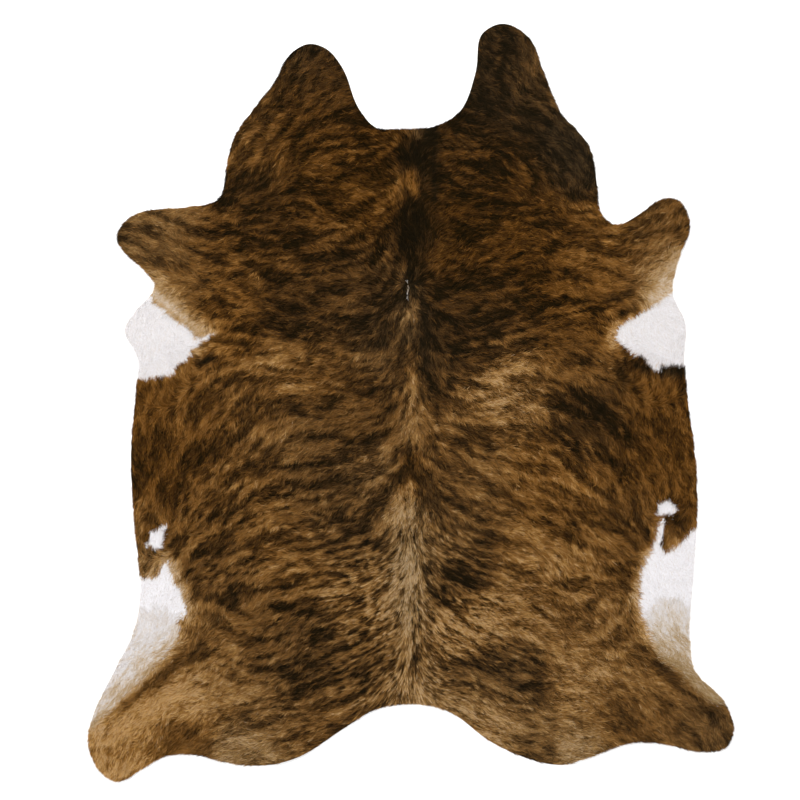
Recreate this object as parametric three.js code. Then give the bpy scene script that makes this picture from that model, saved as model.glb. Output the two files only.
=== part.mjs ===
// A brindle cowhide rug: one tanned skin with its hair on, lying flat with the hair side up.
//
// Millimetres. +Z is up and the underside is the plane z = 0. +Y runs along the back towards the
// neck and +X towards the animal's right-hand side as the rug is looked down on. The origin is
// under the middle of the rug's box.

import * as THREE from 'three';

// ---------------------------------------------------------------------------------------------
// Driving dimensions
// ---------------------------------------------------------------------------------------------

const LEATHER_THICKNESS = 2.5; // the cut edge of the skin, which stands square to the floor
const COAT_THICKNESS = 4.5; // the hair lying on the skin
const HAIR_OVERHANG = 4; // how far the hair reaches past the cut edge of the skin
const COAT_ROUNDING = 16; // how far in from the cut edge the coat reaches its full thickness
const STEPS_BETWEEN_LANDMARKS = 4; // edge points from each landmark to the next

// The section of the rim, from the foot of the cut edge up to the flat top of the coat.
const TOP = LEATHER_THICKNESS + COAT_THICKNESS;
const RIM_SECTION = [
  { spot: 'foot of the cut edge', inward: 0, height: 0 },
  { spot: 'top of the leather', inward: 0, height: LEATHER_THICKNESS },
  { spot: 'hair tips', inward: -HAIR_OVERHANG, height: LEATHER_THICKNESS + 0.2 * COAT_THICKNESS },
  { spot: 'shoulder of the coat', inward: 0.2 * COAT_ROUNDING, height: TOP - 0.25 * COAT_THICKNESS },
  { spot: 'top of the coat', inward: COAT_ROUNDING, height: TOP },
];

// The hair stands in a low crest along the back, from the whorl behind the shoulders to the tail.
const CREST_HEAD_Y = 330;
const CREST_TAIL_Y = -800;
const CREST_HALF_WIDTH = 34;
const CREST_RISE = 1.2;
const CREST_STEPS = 14;

// ---------------------------------------------------------------------------------------------
// The trimmed edge, landmark by landmark
// ---------------------------------------------------------------------------------------------
// Each table is one stretch of the edge. They follow each other anticlockwise as the rug is
// looked down on, from the valley between the neck lobes and round by the left legs, the rump and
// the right legs. A smooth curve runs through the landmarks.

const LEFT_NECK_LOBE = [
  { spot: 'valley', x: -35, y: 776 },
  { spot: 'valley corner', x: -100, y: 782 },
  { spot: 'root', x: -152, y: 842 },
  { spot: 'inner side', x: -191, y: 944 },
  { spot: 'inner shoulder', x: -238, y: 1004 },
  { spot: 'tip', x: -292, y: 1020 },
  { spot: 'outer shoulder', x: -345, y: 990 },
  { spot: 'outer side', x: -390, y: 908 },
  { spot: 'cheek', x: -445, y: 838 },
  { spot: 'throat', x: -507, y: 744 },
  { spot: 'shoulder', x: -525, y: 662 },
];

const LEFT_FORE_LEG = [
  { spot: 'front of the leg', x: -546, y: 580 },
  { spot: 'upper side', x: -645, y: 554 },
  { spot: 'knee', x: -745, y: 546 },
  { spot: 'top corner', x: -808, y: 519 },
  { spot: 'tip', x: -836, y: 471 },
  { spot: 'bottom corner', x: -816, y: 430 },
  { spot: 'lower side', x: -762, y: 380 },
  { spot: 'armpit', x: -727, y: 330 },
];

const LEFT_BELLY = [
  { spot: 'flap', x: -780, y: 266 },
  { spot: 'flap end', x: -815, y: 205 },
  { spot: 'under the flap', x: -777, y: 124 },
  { spot: 'ribs', x: -782, y: 30 },
  { spot: 'belly', x: -797, y: -160 },
  { spot: 'flank', x: -782, y: -385 },
  { spot: 'waist', x: -770, y: -530 },
  { spot: 'thigh', x: -790, y: -655 },
];

const LEFT_HIND_LEG = [
  { spot: 'outer side', x: -850, y: -775 },
  { spot: 'shin', x: -903, y: -888 },
  { spot: 'outer corner', x: -918, y: -970 },
  { spot: 'heel', x: -885, y: -1048 },
  { spot: 'tip', x: -832, y: -1078 },
  { spot: 'inner corner', x: -772, y: -1045 },
  { spot: 'inner side', x: -695, y: -1004 },
  { spot: 'seat', x: -605, y: -1003 },
];

const RUMP = [
  { spot: 'left swell', x: -510, y: -1027 },
  { spot: 'left swell end', x: -410, y: -1032 },
  { spot: 'left arch', x: -310, y: -1004 },
  { spot: 'left of the tail', x: -195, y: -930 },
  { spot: 'tail root', x: -95, y: -870 },
  { spot: 'tail notch', x: 20, y: -857 },
  { spot: 'right of the tail', x: 110, y: -880 },
  { spot: 'right arch', x: 225, y: -964 },
  { spot: 'right swell', x: 335, y: -1014 },
  { spot: 'right swell end', x: 425, y: -1031 },
  { spot: 'right seat', x: 530, y: -1000 },
];

const RIGHT_HIND_LEG = [
  { spot: 'inner side', x: 625, y: -967 },
  { spot: 'hollow', x: 720, y: -971 },
  { spot: 'underside', x: 815, y: -992 },
  { spot: 'tip', x: 893, y: -982 },
  { spot: 'outer corner', x: 917, y: -925 },
  { spot: 'shin', x: 885, y: -845 },
  { spot: 'outer side', x: 806, y: -764 },
  { spot: 'thigh', x: 792, y: -665 },
];

const RIGHT_BELLY = [
  { spot: 'waist', x: 800, y: -530 },
  { spot: 'flank', x: 810, y: -390 },
  { spot: 'belly', x: 811, y: -200 },
  { spot: 'ribs', x: 786, y: 10 },
  { spot: 'under the flap', x: 777, y: 120 },
  { spot: 'flap end', x: 780, y: 225 },
];

const RIGHT_FORE_LEG = [
  { spot: 'armpit', x: 742, y: 318 },
  { spot: 'lower side', x: 766, y: 425 },
  { spot: 'bottom corner', x: 792, y: 500 },
  { spot: 'tip', x: 765, y: 570 },
  { spot: 'top corner', x: 715, y: 578 },
  { spot: 'upper side', x: 650, y: 536 },
  { spot: 'front of the leg', x: 585, y: 505 },
];

const RIGHT_NECK_LOBE = [
  { spot: 'shoulder', x: 538, y: 537 },
  { spot: 'throat', x: 527, y: 635 },
  { spot: 'cheek', x: 503, y: 735 },
  { spot: 'outer side', x: 425, y: 825 },
  { spot: 'outer neck', x: 378, y: 935 },
  { spot: 'outer shoulder', x: 335, y: 1038 },
  { spot: 'tip', x: 262, y: 1078 },
  { spot: 'inner shoulder', x: 200, y: 1046 },
  { spot: 'inner side', x: 184, y: 942 },
  { spot: 'root', x: 142, y: 832 },
  { spot: 'valley corner', x: 72, y: 787 },
];

const EDGE = [
  ...LEFT_NECK_LOBE,
  ...LEFT_FORE_LEG,
  ...LEFT_BELLY,
  ...LEFT_HIND_LEG,
  ...RUMP,
  ...RIGHT_HIND_LEG,
  ...RIGHT_BELLY,
  ...RIGHT_FORE_LEG,
  ...RIGHT_NECK_LOBE,
];

/** The edge as a closed ring of points, with the middle of its box moved to the origin. */
function edgeRing(landmarks) {
  const curve = new THREE.CatmullRomCurve3(
    landmarks.map(({ x, y }) => new THREE.Vector3(x, y, 0)),
    true,
    'centripetal',
  );
  const ring = curve
    .getPoints(landmarks.length * STEPS_BETWEEN_LANDMARKS)
    .slice(0, -1)
    .map((point) => new THREE.Vector2(point.x, point.y));
  const middle = new THREE.Box2().setFromPoints(ring).getCenter(new THREE.Vector2());
  return ring.map((point) => point.sub(middle));
}

/** The ring drawn in by a distance, square to the edge at each point. */
function drawnIn(ring, distance) {
  return ring.map((point, index) => {
    const before = ring.at(index - 1);
    const after = ring[(index + 1) % ring.length];
    const along = after.clone().sub(before).normalize();
    const inward = new THREE.Vector2(-along.y, along.x);
    return point.clone().addScaledVector(inward, distance);
  });
}

/** One side of the crest's foot: a bow that is widest in the middle and closes at its ends. */
function crestSide(direction) {
  return Array.from({ length: CREST_STEPS - 1 }, (_, index) => {
    const along = (index + 1) / CREST_STEPS;
    const y = THREE.MathUtils.lerp(CREST_HEAD_Y, CREST_TAIL_Y, along);
    return new THREE.Vector2(direction * CREST_HALF_WIDTH * Math.sin(Math.PI * along), y);
  });
}

/** Vertices and triangles of one closed body, gathered piece by piece. */
class ShellBuilder {
  constructor() {
    this.positions = [];
    this.triangles = [];
  }

  /** Adds a row of points at one height and returns their numbers. */
  addPoints(points, height) {
    const first = this.positions.length / 3;
    points.forEach((point) => this.positions.push(point.x, point.y, height));
    return points.map((_, index) => first + index);
  }

  /** Joins a closed row of points to the row above it. */
  addBand(lower, upper) {
    lower.forEach((corner, index) => {
      const next = (index + 1) % lower.length;
      this.triangles.push(corner, lower[next], upper[next]);
      this.triangles.push(corner, upper[next], upper[index]);
    });
  }

  /** Fills a flat outline, less its holes, with triangles that face up or down. */
  addCap(outline, holes, numbers, facesUp) {
    THREE.ShapeUtils.triangulateShape(outline, holes).forEach(([a, b, c]) => {
      const corners = facesUp ? [a, b, c] : [a, c, b];
      this.triangles.push(...corners.map((corner) => numbers[corner]));
    });
  }

  /** Joins one open row of points to another of the same length. */
  addStrip(near, far) {
    for (let index = 0; index + 1 < near.length; index += 1) {
      const corners = [near[index], near[index + 1], far[index + 1], far[index]];
      const [a, b, c, d] = corners;
      if (a !== d) this.triangles.push(a, b, d);
      if (b !== c) this.triangles.push(b, c, d);
    }
  }

  toGeometry() {
    const geometry = new THREE.BufferGeometry();
    geometry.setAttribute('position', new THREE.Float32BufferAttribute(this.positions, 3));
    geometry.setIndex(this.triangles);
    geometry.computeVertexNormals();
    return geometry;
  }
}

/** The whole hide: flat underside, square leather edge, rounded coat and the crest on the back. */
function hideGeometry() {
  const shell = new ShellBuilder();
  const edge = edgeRing(EDGE);
  const rings = RIM_SECTION.map(({ inward }) => drawnIn(edge, inward));
  const rows = rings.map((ring, index) => shell.addPoints(ring, RIM_SECTION[index].height));
  rows.slice(1).forEach((row, index) => shell.addBand(rows[index], row));
  shell.addCap(rings[0], [], rows[0], false);

  const head = new THREE.Vector2(0, CREST_HEAD_Y);
  const tail = new THREE.Vector2(0, CREST_TAIL_Y);
  const left = [head, ...crestSide(-1), tail];
  const right = crestSide(1);
  const foot = [...left, ...[...right].reverse()];
  const footNumbers = shell.addPoints(foot, TOP);
  shell.addCap(rings.at(-1), [foot], [...rows.at(-1), ...footNumbers], true);

  const headNumber = footNumbers[0];
  const tailNumber = footNumbers[left.length - 1];
  const spine = right.map(({ y }) => new THREE.Vector2(0, y));
  const ridge = [headNumber, ...shell.addPoints(spine, TOP + CREST_RISE), tailNumber];
  const leftFoot = footNumbers.slice(0, left.length);
  const rightFoot = [headNumber, ...footNumbers.slice(left.length).reverse(), tailNumber];
  shell.addStrip(leftFoot, ridge);
  shell.addStrip(ridge, rightFoot);
  return shell.toGeometry();
}

const brindleHair = new THREE.MeshStandardMaterial({
  color: 0x7a4f2a,
  roughness: 0.75,
  metalness: 0,
});

const hide = new THREE.Mesh(hideGeometry(), brindleHair);
hide.name = 'hide';

const rug = new THREE.Group();
rug.add(hide);

export default rug;
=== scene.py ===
"""A brindle cowhide rug, laid flat with its hair side up.

The rug is one tanned skin with the hair on. The skin is a thin closed sheet cut to the frame's
outline, and the hair is laid on it as tapered locks that follow the combing of the coat. Each lock
takes its colour from a map of the brindle, so streaks, patches and the hair itself agree.

Lengths are metres unless a name says otherwise. +Y runs along the back towards the neck, +Z is up.
"""

from __future__ import annotations

import itertools
import logging
from dataclasses import dataclass, field
from enum import Enum
from functools import cached_property
from typing import Any, NamedTuple

import bpy
import numpy as np
from mathutils.geometry import delaunay_2d_cdt
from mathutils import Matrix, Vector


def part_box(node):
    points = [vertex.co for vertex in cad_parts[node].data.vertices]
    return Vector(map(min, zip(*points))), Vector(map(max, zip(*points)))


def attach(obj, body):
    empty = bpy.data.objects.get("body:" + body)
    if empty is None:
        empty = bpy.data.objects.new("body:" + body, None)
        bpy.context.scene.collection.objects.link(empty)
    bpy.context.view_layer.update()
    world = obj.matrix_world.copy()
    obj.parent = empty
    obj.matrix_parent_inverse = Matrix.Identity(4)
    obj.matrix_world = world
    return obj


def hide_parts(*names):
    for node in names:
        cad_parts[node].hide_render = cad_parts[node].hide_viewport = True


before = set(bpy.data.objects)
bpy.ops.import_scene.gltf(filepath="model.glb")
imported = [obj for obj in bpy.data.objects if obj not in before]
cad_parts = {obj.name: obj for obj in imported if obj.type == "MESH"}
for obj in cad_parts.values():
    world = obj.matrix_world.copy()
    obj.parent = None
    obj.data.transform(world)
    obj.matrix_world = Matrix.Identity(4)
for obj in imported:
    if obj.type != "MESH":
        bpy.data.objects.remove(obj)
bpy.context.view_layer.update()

LOG = logging.getLogger("cowhide_rug")
MM = 0.001
SEED = 20317
MARGIN = 0.05  # how far the raster reaches past the rug
FINE, COARSE = 2 * MM, 6 * MM  # the cells of the coat's raster, and of the edge's

Array = np.ndarray
Pair = tuple[Array, Array]  # X and Y of places or directions, or two other arrays
Socket = bpy.types.NodeSocket


# ---- The rug's plan as a raster ----


@dataclass(frozen=True)
class Plan:
    """A raster over the rug's plan, on which the coat's fields are worked out.

    Args:
        low: The raster's lowest corner.
        high: Its highest corner.
        pitch: The side of a cell.
    """

    low: tuple[float, float]
    high: tuple[float, float]
    pitch: float

    @cached_property
    def shape(self) -> tuple[int, int]:
        """Rows along Y and columns along X."""
        span = (np.array(self.high) - np.array(self.low)) / self.pitch
        return int(span[1]) + 1, int(span[0]) + 1

    @cached_property
    def points(self) -> Pair:
        """X and Y of every raster point."""
        steps = [self.pitch * np.arange(count) for count in self.shape[::-1]]
        return tuple(np.meshgrid(self.low[0] + steps[0], self.low[1] + steps[1]))

    def read(self, values: Array, x: Array, y: Array) -> Array:
        """Reads a field between its raster points.

        Args:
            values: The field, one value for each raster point.
            x: X of the places to read.
            y: Y of the places to read.

        Returns:
            The value at each place: the four nearest points, each weighted by the area of the
            rectangle opposite it.
        """
        rows, columns = self.shape
        u = np.clip((x - self.low[0]) / self.pitch, 0, columns - 1.001)
        v = np.clip((y - self.low[1]) / self.pitch, 0, rows - 1.001)
        i, j = u.astype(np.int32), v.astype(np.int32)
        u, v = (u - i).astype(np.float32), (v - j).astype(np.float32)
        flat, at = values.ravel(), j * columns + i
        lower = flat[at] * (1 - u) + flat[at + 1] * u
        upper = flat[at + columns] * (1 - u) + flat[at + columns + 1] * u
        return lower * (1 - v) + upper * v

    def grain(self, rng: np.random.Generator, spread: float) -> Array:
        """Soft noise in blots.

        Args:
            rng: The source of the noise.
            spread: The spread of the bell curve that blurs it.

        Returns:
            Noise with a mean of 0 and a deviation of 1. It is blurred in the frequency domain,
            where the bell curve is exp(-2 (pi f s)^2), with s the spread in cells.
        """
        rows, columns = self.shape
        noise = rng.standard_normal(self.shape)
        fy, fx = np.fft.fftfreq(rows)[:, None], np.fft.rfftfreq(columns)[None, :]
        curve = np.exp(-2 * (np.pi * spread / self.pitch) ** 2 * (fx**2 + fy**2))
        soft = np.fft.irfft2(np.fft.rfft2(noise) * curve, s=self.shape)
        return standard(soft.astype(np.float32))

    def smear(self, values: Array, along: Pair, reach: float) -> Array:
        """Draws a field out along a direction, as a brush does.

        Args:
            values: The field.
            along: The direction at each raster point.
            reach: How far it is drawn out.

        Returns:
            The field after a few passes. Each averages a point with the two at a distance d
            before and after it, and d doubles from one pass to the next.
        """
        x, y = self.points
        distance = self.pitch
        while distance < reach:
            dx, dy = distance * along[0], distance * along[1]
            ahead = self.read(values, x + dx, y + dy)
            behind = self.read(values, x - dx, y - dy)
            values = (ahead + behind + values) / 3
            distance *= 2
        return values


def standard(values: Array) -> Array:
    """The values moved and scaled to a mean of 0 and a deviation of 1."""
    return ((values - values.mean()) / values.std()).astype(np.float32)


def ease(values: Array, start: float, end: float) -> Array:
    """From 0 at start to 1 at end, level at both: 3t^2 - 2t^3."""
    t = np.clip((values - start) / (end - start), 0, 1)
    return t * t * (3 - 2 * t)


def unit(x: Array, y: Array) -> Pair:
    """The directions at length 1."""
    length = np.hypot(x, y) + 1e-6
    return (x / length).astype(np.float32), (y / length).astype(np.float32)


def turned(along: Pair, degrees: Array) -> Pair:
    """Each direction turned by an angle, at length 1."""
    turn, lean = np.cos(np.radians(degrees)), np.sin(np.radians(degrees))
    return unit(along[0] * turn - along[1] * lean, along[0] * lean + along[1] * turn)


def stirred(tone: Array, change: Array) -> Array:
    """Adds a change to tones.

    Args:
        tone: The tones.
        change: What is added. A rise counts for less and less from a tone of 0.4 on, down to 0.6
            of itself at 0.8.

    Returns:
        The changed tones. No rise goes beyond 0.88, which is a pale tan.
    """
    change = change * np.where(change > 0, 1 - 0.4 * ease(tone, 0.4, 0.8), 1)
    return np.minimum(tone + change, np.maximum(tone, 0.88))


def bell(x: Array, y: Array, row: Cowlick | Ground) -> Array:
    """A bell curve round a row's place: exp(-d^2 / 2r^2), with d the distance and r its reach."""
    away = (x - row.x * MM) ** 2 + (y - row.y * MM) ** 2
    return np.exp(-away / (2 * (row.reach * MM) ** 2))


def low_back(x: Array, y: Array) -> Array:
    """From 0 to 1, how near a place is to the low back, where the hair lies in long threads."""
    # It sets in from 0.3 to 0.45 m below the rug's middle, and reaches 0.2 m to each side.
    return ease(-y, 0.3, 0.45) * np.exp(-((x / 0.2) ** 2) / 2)


# ---- The cut edge ----


@dataclass
class CutEdge:
    """The hide's trimmed edge, read from the underside of the frame's node.

    Args:
        node: The node's object.
        subdivisions: Points laid on the smooth edge for each corner of the node.
        merge: The step that the node's points are rounded to, in millimetres, to find its corners.
        corners: The node's corners in order, anticlockwise.
        ring: The points of the smooth edge.
    """

    node: bpy.types.Object
    subdivisions: int = 3
    merge: float = 0.01
    corners: Array = field(init=False)
    ring: Array = field(init=False)

    def __post_init__(self) -> None:
        """Reads the corners and lays the smooth edge through them."""
        self.corners = self._read_corners()
        self.ring = self._smooth()

    def _read_corners(self) -> Array:
        """Follows the rim of the flat underside.

        Returns:
            The corners in order. An edge of the underside is on the rim if no other underside
            triangle runs along it the other way.
        """
        mesh = self.node.data
        places = np.empty(len(mesh.vertices) * 3, np.float32)
        mesh.vertices.foreach_get("co", places)
        mesh.calc_loop_triangles()
        corners = np.empty(len(mesh.loop_triangles) * 3, np.int32)
        mesh.loop_triangles.foreach_get("vertices", corners)
        rounded = np.round(places.reshape(-1, 3) / (self.merge * MM)).astype(np.int64)
        unique, merged = np.unique(rounded, axis=0, return_inverse=True)
        triangles = merged.reshape(-1)[corners].reshape(-1, 3)
        underside = triangles[(unique[triangles][:, :, 2] == unique[:, 2].min()).all(axis=1)]
        edges = np.stack([underside.T.ravel(), np.roll(underside, -1, axis=1).T.ravel()], axis=1)
        code = edges[:, 0] * len(unique) + edges[:, 1]
        twin = edges[:, 1] * len(unique) + edges[:, 0]
        rim = edges[~np.isin(twin, code)]
        follow = dict(rim.tolist())
        start = int(rim[0, 0])
        walk = itertools.accumulate(range(len(rim) - 1), lambda at, _: follow[at], initial=start)
        points = unique[list(walk)][:, :2] * self.merge * MM
        return points if self._area_in(points) > 0 else points[::-1]

    def _smooth(self) -> Array:
        """Lays a Catmull-Rom curve through the corners.

        Returns:
            Its points. Between b and c, with neighbours a and d, the point at t is
            (2b + (c - a)t + (2a - 5b + 4c - d)t^2 + (3b - a - 3c + d)t^3) / 2.
        """
        a, b, c, d = (np.roll(self.corners, shift, axis=0)[:, None, :] for shift in (1, 0, -1, -2))
        t = (np.arange(self.subdivisions) / self.subdivisions)[None, :, None]
        bend = (2 * a - 5 * b + 4 * c - d) * t**2 + (3 * b - a - 3 * c + d) * t**3
        return ((2 * b + (c - a) * t + bend) / 2).reshape(-1, 2)

    @staticmethod
    def _area_in(points: Array) -> float:
        """The area inside a ring of points, by the shoelace formula, negative if clockwise."""
        x, y = points.T
        return float(np.sum(x * np.roll(y, -1) - y * np.roll(x, -1)) / 2)

    def area(self) -> float:
        """The area inside the edge."""
        return self._area_in(self.ring)

    def depth(self, plan: Plan) -> Array:
        """How far inside the edge the raster's points lie.

        Args:
            plan: The raster.

        Returns:
            The least distance to any side of the edge, negative outside. A point is inside if
            a ray from it to +X crosses an odd number of sides.
        """
        x, y = (axis.astype(np.float32) for axis in plan.points)
        ax, ay = self.corners.astype(np.float32).T
        bx, by = np.roll(self.corners, -1, axis=0).astype(np.float32).T
        nearest = np.full(x.shape, np.inf, np.float32)
        inside = np.zeros(x.shape, bool)
        for sx, sy, ex, ey in zip(ax, ay, bx, by):
            dx, dy = ex - sx, ey - sy
            share = np.clip(((x - sx) * dx + (y - sy) * dy) / (dx * dx + dy * dy), 0, 1)
            away = (x - sx - share * dx) ** 2 + (y - sy - share * dy) ** 2
            np.minimum(nearest, away, out=nearest)
            if dy:
                inside ^= ((sy > y) != (ey > y)) & (x < sx + (y - sy) * dx / dy)
        return np.where(inside, 1, -1) * np.sqrt(nearest)


# ---- White patches ----


class Limb(NamedTuple):
    """One rounded part of a patch, in millimetres.

    It fills the circles that lie between one of radius at x, y and one of to_radius at to_x, to_y.
    """

    x: float
    y: float
    radius: float
    to_x: float
    to_y: float
    to_radius: float

    def depth(self, x: Array, y: Array) -> Array:
        """How far inside it places lie.

        Args:
            x: X of the places in millimetres.
            y: Y of the places in millimetres.

        Returns:
            The radius at the nearest point of its middle line, less the distance to that point.
        """
        dx, dy = self.to_x - self.x, self.to_y - self.y
        share = np.clip(((x - self.x) * dx + (y - self.y) * dy) / (dx * dx + dy * dy), 0, 1)
        radius = self.radius + share * (self.to_radius - self.radius)
        return radius - np.hypot(x - self.x - share * dx, y - self.y - share * dy)


@dataclass(frozen=True)
class Patch:
    """A white patch of the coat, as the soft union of a few rounded limbs.

    Args:
        name: Where it is on the hide.
        limbs: Its rounded parts.
        pull: How strongly the coloured hair round it leans into the white.
        halo: How much paler the coloured hair beside it is.
        reach: How far that paler hair goes, in millimetres.
        side: The direction, seen from the patch, in which that paler hair lies.
        ragged: How ragged its border is, in millimetres.
        soft: How far to each side of its border white and coloured hair mix, in millimetres.
        fade: The Y in mm where its white begins to darken, and where it has darkened.
        crown: The X in mm where the fade begins highest, and how far it drops 50 mm from there.
        white: The tone of its hair above the fade.
        fall: How far its tone falls at once where the fade begins, and in the end at its border.
        rim: How far that darker border reaches in, in millimetres.
        warmth: Where its hair stands between the grey and the warm scale.
        rounding: How far the corners between two limbs are filled, in millimetres.
        covered: How wide a strip of its border the hair round it covers, in millimetres.
    """

    name: str
    limbs: tuple[Limb, ...]
    pull: float = 1.3
    halo: float = 0.0
    reach: float = 34.0
    side: tuple[float, float] = (0, 1)
    ragged: float = 2.5
    soft: float = 3.5
    fade: tuple[float, float] = (-2000, -3000)
    crown: tuple[float, float] = (0.0, 0.0)
    white: float = 0.996
    fall: tuple[float, float] = (0.0, 0.0)
    rim: float = 40.0
    warmth: float = 0.1
    rounding: float = 5.0
    covered: float = 7.0


PATCHES = (
    Patch(
        "left armpit",
        (
            Limb(-790, 262, 60, -650, 170, 30),
            Limb(-800, 118, 52, -712, 114, 47),
            Limb(-790, 195, 60, -678, 166, 60),
            Limb(-622, 164, 8, -562, 195, 1),
        ),
        halo=0.42,
        white=0.973,
    ),
    Patch(
        "right armpit",
        (
            Limb(760, 272, 42, 627, 191, 38),
            Limb(627, 194, 38, 609, 184, 24),
            Limb(790, 168, 64, 735, 165, 62),
            Limb(780, 215, 60, 648, 179, 46),
            Limb(691, 140, 40, 693, 106, 15),
        ),
        halo=0.36,
        white=0.974,
    ),
    Patch(
        "left spot",
        (
            Limb(-704, -356, 7, -727, -394, 19),
            Limb(-741, -402, 11, -716, -408, 11),
        ),
        rounding=2.0,
    ),
    Patch(
        "right spot",
        (
            Limb(722, -301, 20, 738, -304, 19),
            Limb(702, -318, 3, 716, -310, 11),
        ),
        rounding=2.0,
    ),
    Patch(
        "left groin",
        (
            Limb(-694, -463, 5, -704, -535, 30),
            Limb(-800, -545, 53, -702, -556, 49),
            Limb(-700, -575, 50, -668, -586, 27),
            Limb(-770, -590, 60, -745, -650, 78),
            Limb(-745, -650, 78, -929, -860, 60),
        ),
        pull=0.2,
        ragged=1.2,
        soft=5,
        halo=0.3,
        side=(0.95, 0.3),
        fade=(-572, -725),
        crown=(-735, 9),
        fall=(0.030, 0.088),
        rim=70,
        warmth=0.2,
    ),
    Patch(
        "right groin",
        (
            Limb(810, -386, 25, 802, -436, 42),
            Limb(716, -464, 38, 764, -464, 42),
            Limb(713, -340, 2, 698, -412, 9),
            Limb(698, -412, 9, 704, -490, 46),
            Limb(704, -490, 48, 700, -565, 48),
            Limb(790, -450, 52, 790, -610, 60),
            Limb(714, -600, 54, 745, -690, 46),
            Limb(800, -610, 60, 810, -700, 60),
            Limb(752, -696, 46, 880, -806, 44),
        ),
        pull=0.2,
        ragged=1.2,
        soft=6,
        halo=0.24,
        side=(-0.95, 0.3),
        fade=(-540, -845),
        crown=(739, 24),
        fall=(0.040, 0.215),
        rim=80,
        warmth=0.06,
    ),
    Patch(
        "whorl scar",
        (Limb(-10, 346, 0.2, -8, 296, 1.4),),
        pull=0.0,
        ragged=0.2,
        fade=(2000, 1000),
        fall=(0.04, 0.06),
        rounding=1.0,
        covered=0.0,
    ),
)


class Marking:
    """One patch worked out over the plan.

    The depth is how far inside the patch a place lies. Those of the limbs are joined as
    k log(sum(exp(d / k))), with k the rounding. inward is the direction in which it grows.
    """

    def __init__(self, patch: Patch, plan: Plan) -> None:
        """Works the depth and the way in out.

        Args:
            patch: The patch.
            plan: The raster.
        """
        self.patch = patch
        x, y = (axis / MM for axis in plan.points)
        depths = [limb.depth(x, y) / patch.rounding for limb in patch.limbs]
        depth = np.logaddexp.reduce(depths) * patch.rounding + patch.covered
        self.depth = (depth * MM).astype(np.float32)
        rise_y, rise_x = np.gradient(self.depth, plan.pitch)
        self.inward = (rise_x, rise_y)

    def fall(self, x: Array, y: Array) -> Array:
        """How far its hair's tone falls below white.

        Args:
            x: X of the places in millimetres.
            y: Y of the places in millimetres.

        Returns:
            The fall. It begins at once below the fade's start, with the first value, and grows
            towards the last one: in full along the border, and by a quarter further in. The
            fade's start drops from its crown as a parabola, 60 mm at most. From 20 to 30 mm
            outside the patch the fall ends.
        """
        patch = self.patch
        middle, drop = patch.crown
        far = ease(y + np.minimum(drop * ((x - middle) / 50) ** 2, 60), *patch.fade)
        near_border = 1 - ease(self.depth / MM, 0, patch.rim)
        first, last = patch.fall
        fall = first * ease(far, 0, 0.02) + (last - first) * far * (0.25 + 0.75 * near_border)
        return fall * ease(self.depth / MM, -30, -20)

    def beside(self) -> Array:
        """Tells which places lie on the side of the paler hair.

        Returns:
            0 where the way out of the patch points away from that side, and 1 where it points
            there. It rises between cosines of -0.3 and 0.4.
        """
        lean = self.patch.side[0] * self.inward[0] + self.patch.side[1] * self.inward[1]
        return ease(-lean, -0.3, 0.4)


# ---- How the coat is combed ----


class Level(NamedTuple):
    """One level across the hide, with its Y in millimetres.

    hair is the angle by which the hair points below the horizontal, in degrees, going out from
    the back at the distances in OUT. lag is how many degrees flatter the brindle streaks lie.
    """

    name: str
    y: float
    lag: float
    hair: tuple[float, ...]


OUT = (0, 50, 120, 220, 340, 460, 560, 640, 740, 860)  # millimetres from the back

LEVELS = (
    Level("lobe tips", 1040, 0, (-80, -60, -10, 50, 54, 55, 55, 55, 55, 55)),
    Level("lobes", 900, 0, (-80, -50, 0, 34, 42, 50, 50, 50, 50, 50)),
    Level("nape", 760, -5, (-86, -25, 8, 22, 35, 42, 50, 55, 55, 55)),
    Level("withers", 650, -10, (-90, -35, -10, 14, 44, 52, 60, 40, 30, 30)),
    Level("shoulders", 560, 5, (-90, -44, -18, 4, 22, 26, 25, 4, 0, 0)),
    Level("chest", 470, 10, (-90, -54, -32, 0, 12, 11, 9, -4, -8, -10)),
    Level("elbows", 385, 10, (-90, -56, -34, 0, 6, 7, 8, -8, -30, -30)),
    Level("below the whorl", 290, 14, (90, 40, 12, 8, 11, 8, 6, 20, 50, 50)),
    Level("ribs", 200, 20, (90, 68, 27, 14, 12, 18, 42, 78, 86, 86)),
    Level("mid ribs", 110, 24, (90, 64, 28, 15, 16, 36, 48, 78, 88, 88)),
    Level("last ribs", 0, 22, (90, 58, 28, 20, 28, 52, 58, 72, 88, 90)),
    Level("belly", -120, 18, (90, 55, 28, 22, 32, 56, 60, 68, 84, 88)),
    Level("flank", -280, 16, (90, 53, 32, 27, 34, 46, 54, 72, 84, 84)),
    Level("loin", -430, 14, (90, 54, 33, 20, 25, 38, 38, 50, 66, 74)),
    Level("hips", -580, 14, (90, 54, 33, 24, 29, 42, 48, 62, 84, 84)),
    Level("thighs", -720, 8, (90, 46, 32, 28, 30, 29, 34, 40, 44, 44)),
    Level("rump", -850, 4, (90, 48, 27, 23, 18, 15, 22, 34, 42, 46)),
    Level("hocks", -1000, 6, (90, 46, 30, 22, 14, 16, 20, 32, 44, 56)),
)
RISING = LEVELS[::-1]  # the levels from the lowest up


class Cowlick(NamedTuple):
    """A place where the hair or the streaks lie another way, in millimetres.

    droop is the angle by which they point below the horizontal there, in degrees.
    """

    x: float
    y: float
    reach: float
    droop: float


# where the hair lies another way
COWLICKS = (
    Cowlick(690, 470, 75, -28),
    Cowlick(765, 530, 50, -48),
    Cowlick(740, 400, 45, -60),
    Cowlick(480, 640, 50, 75),
    Cowlick(-720, 50, 55, -86),
    Cowlick(-640, 110, 40, -62),
    Cowlick(720, 60, 55, -86),
    Cowlick(630, 110, 40, -62),
)

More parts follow.
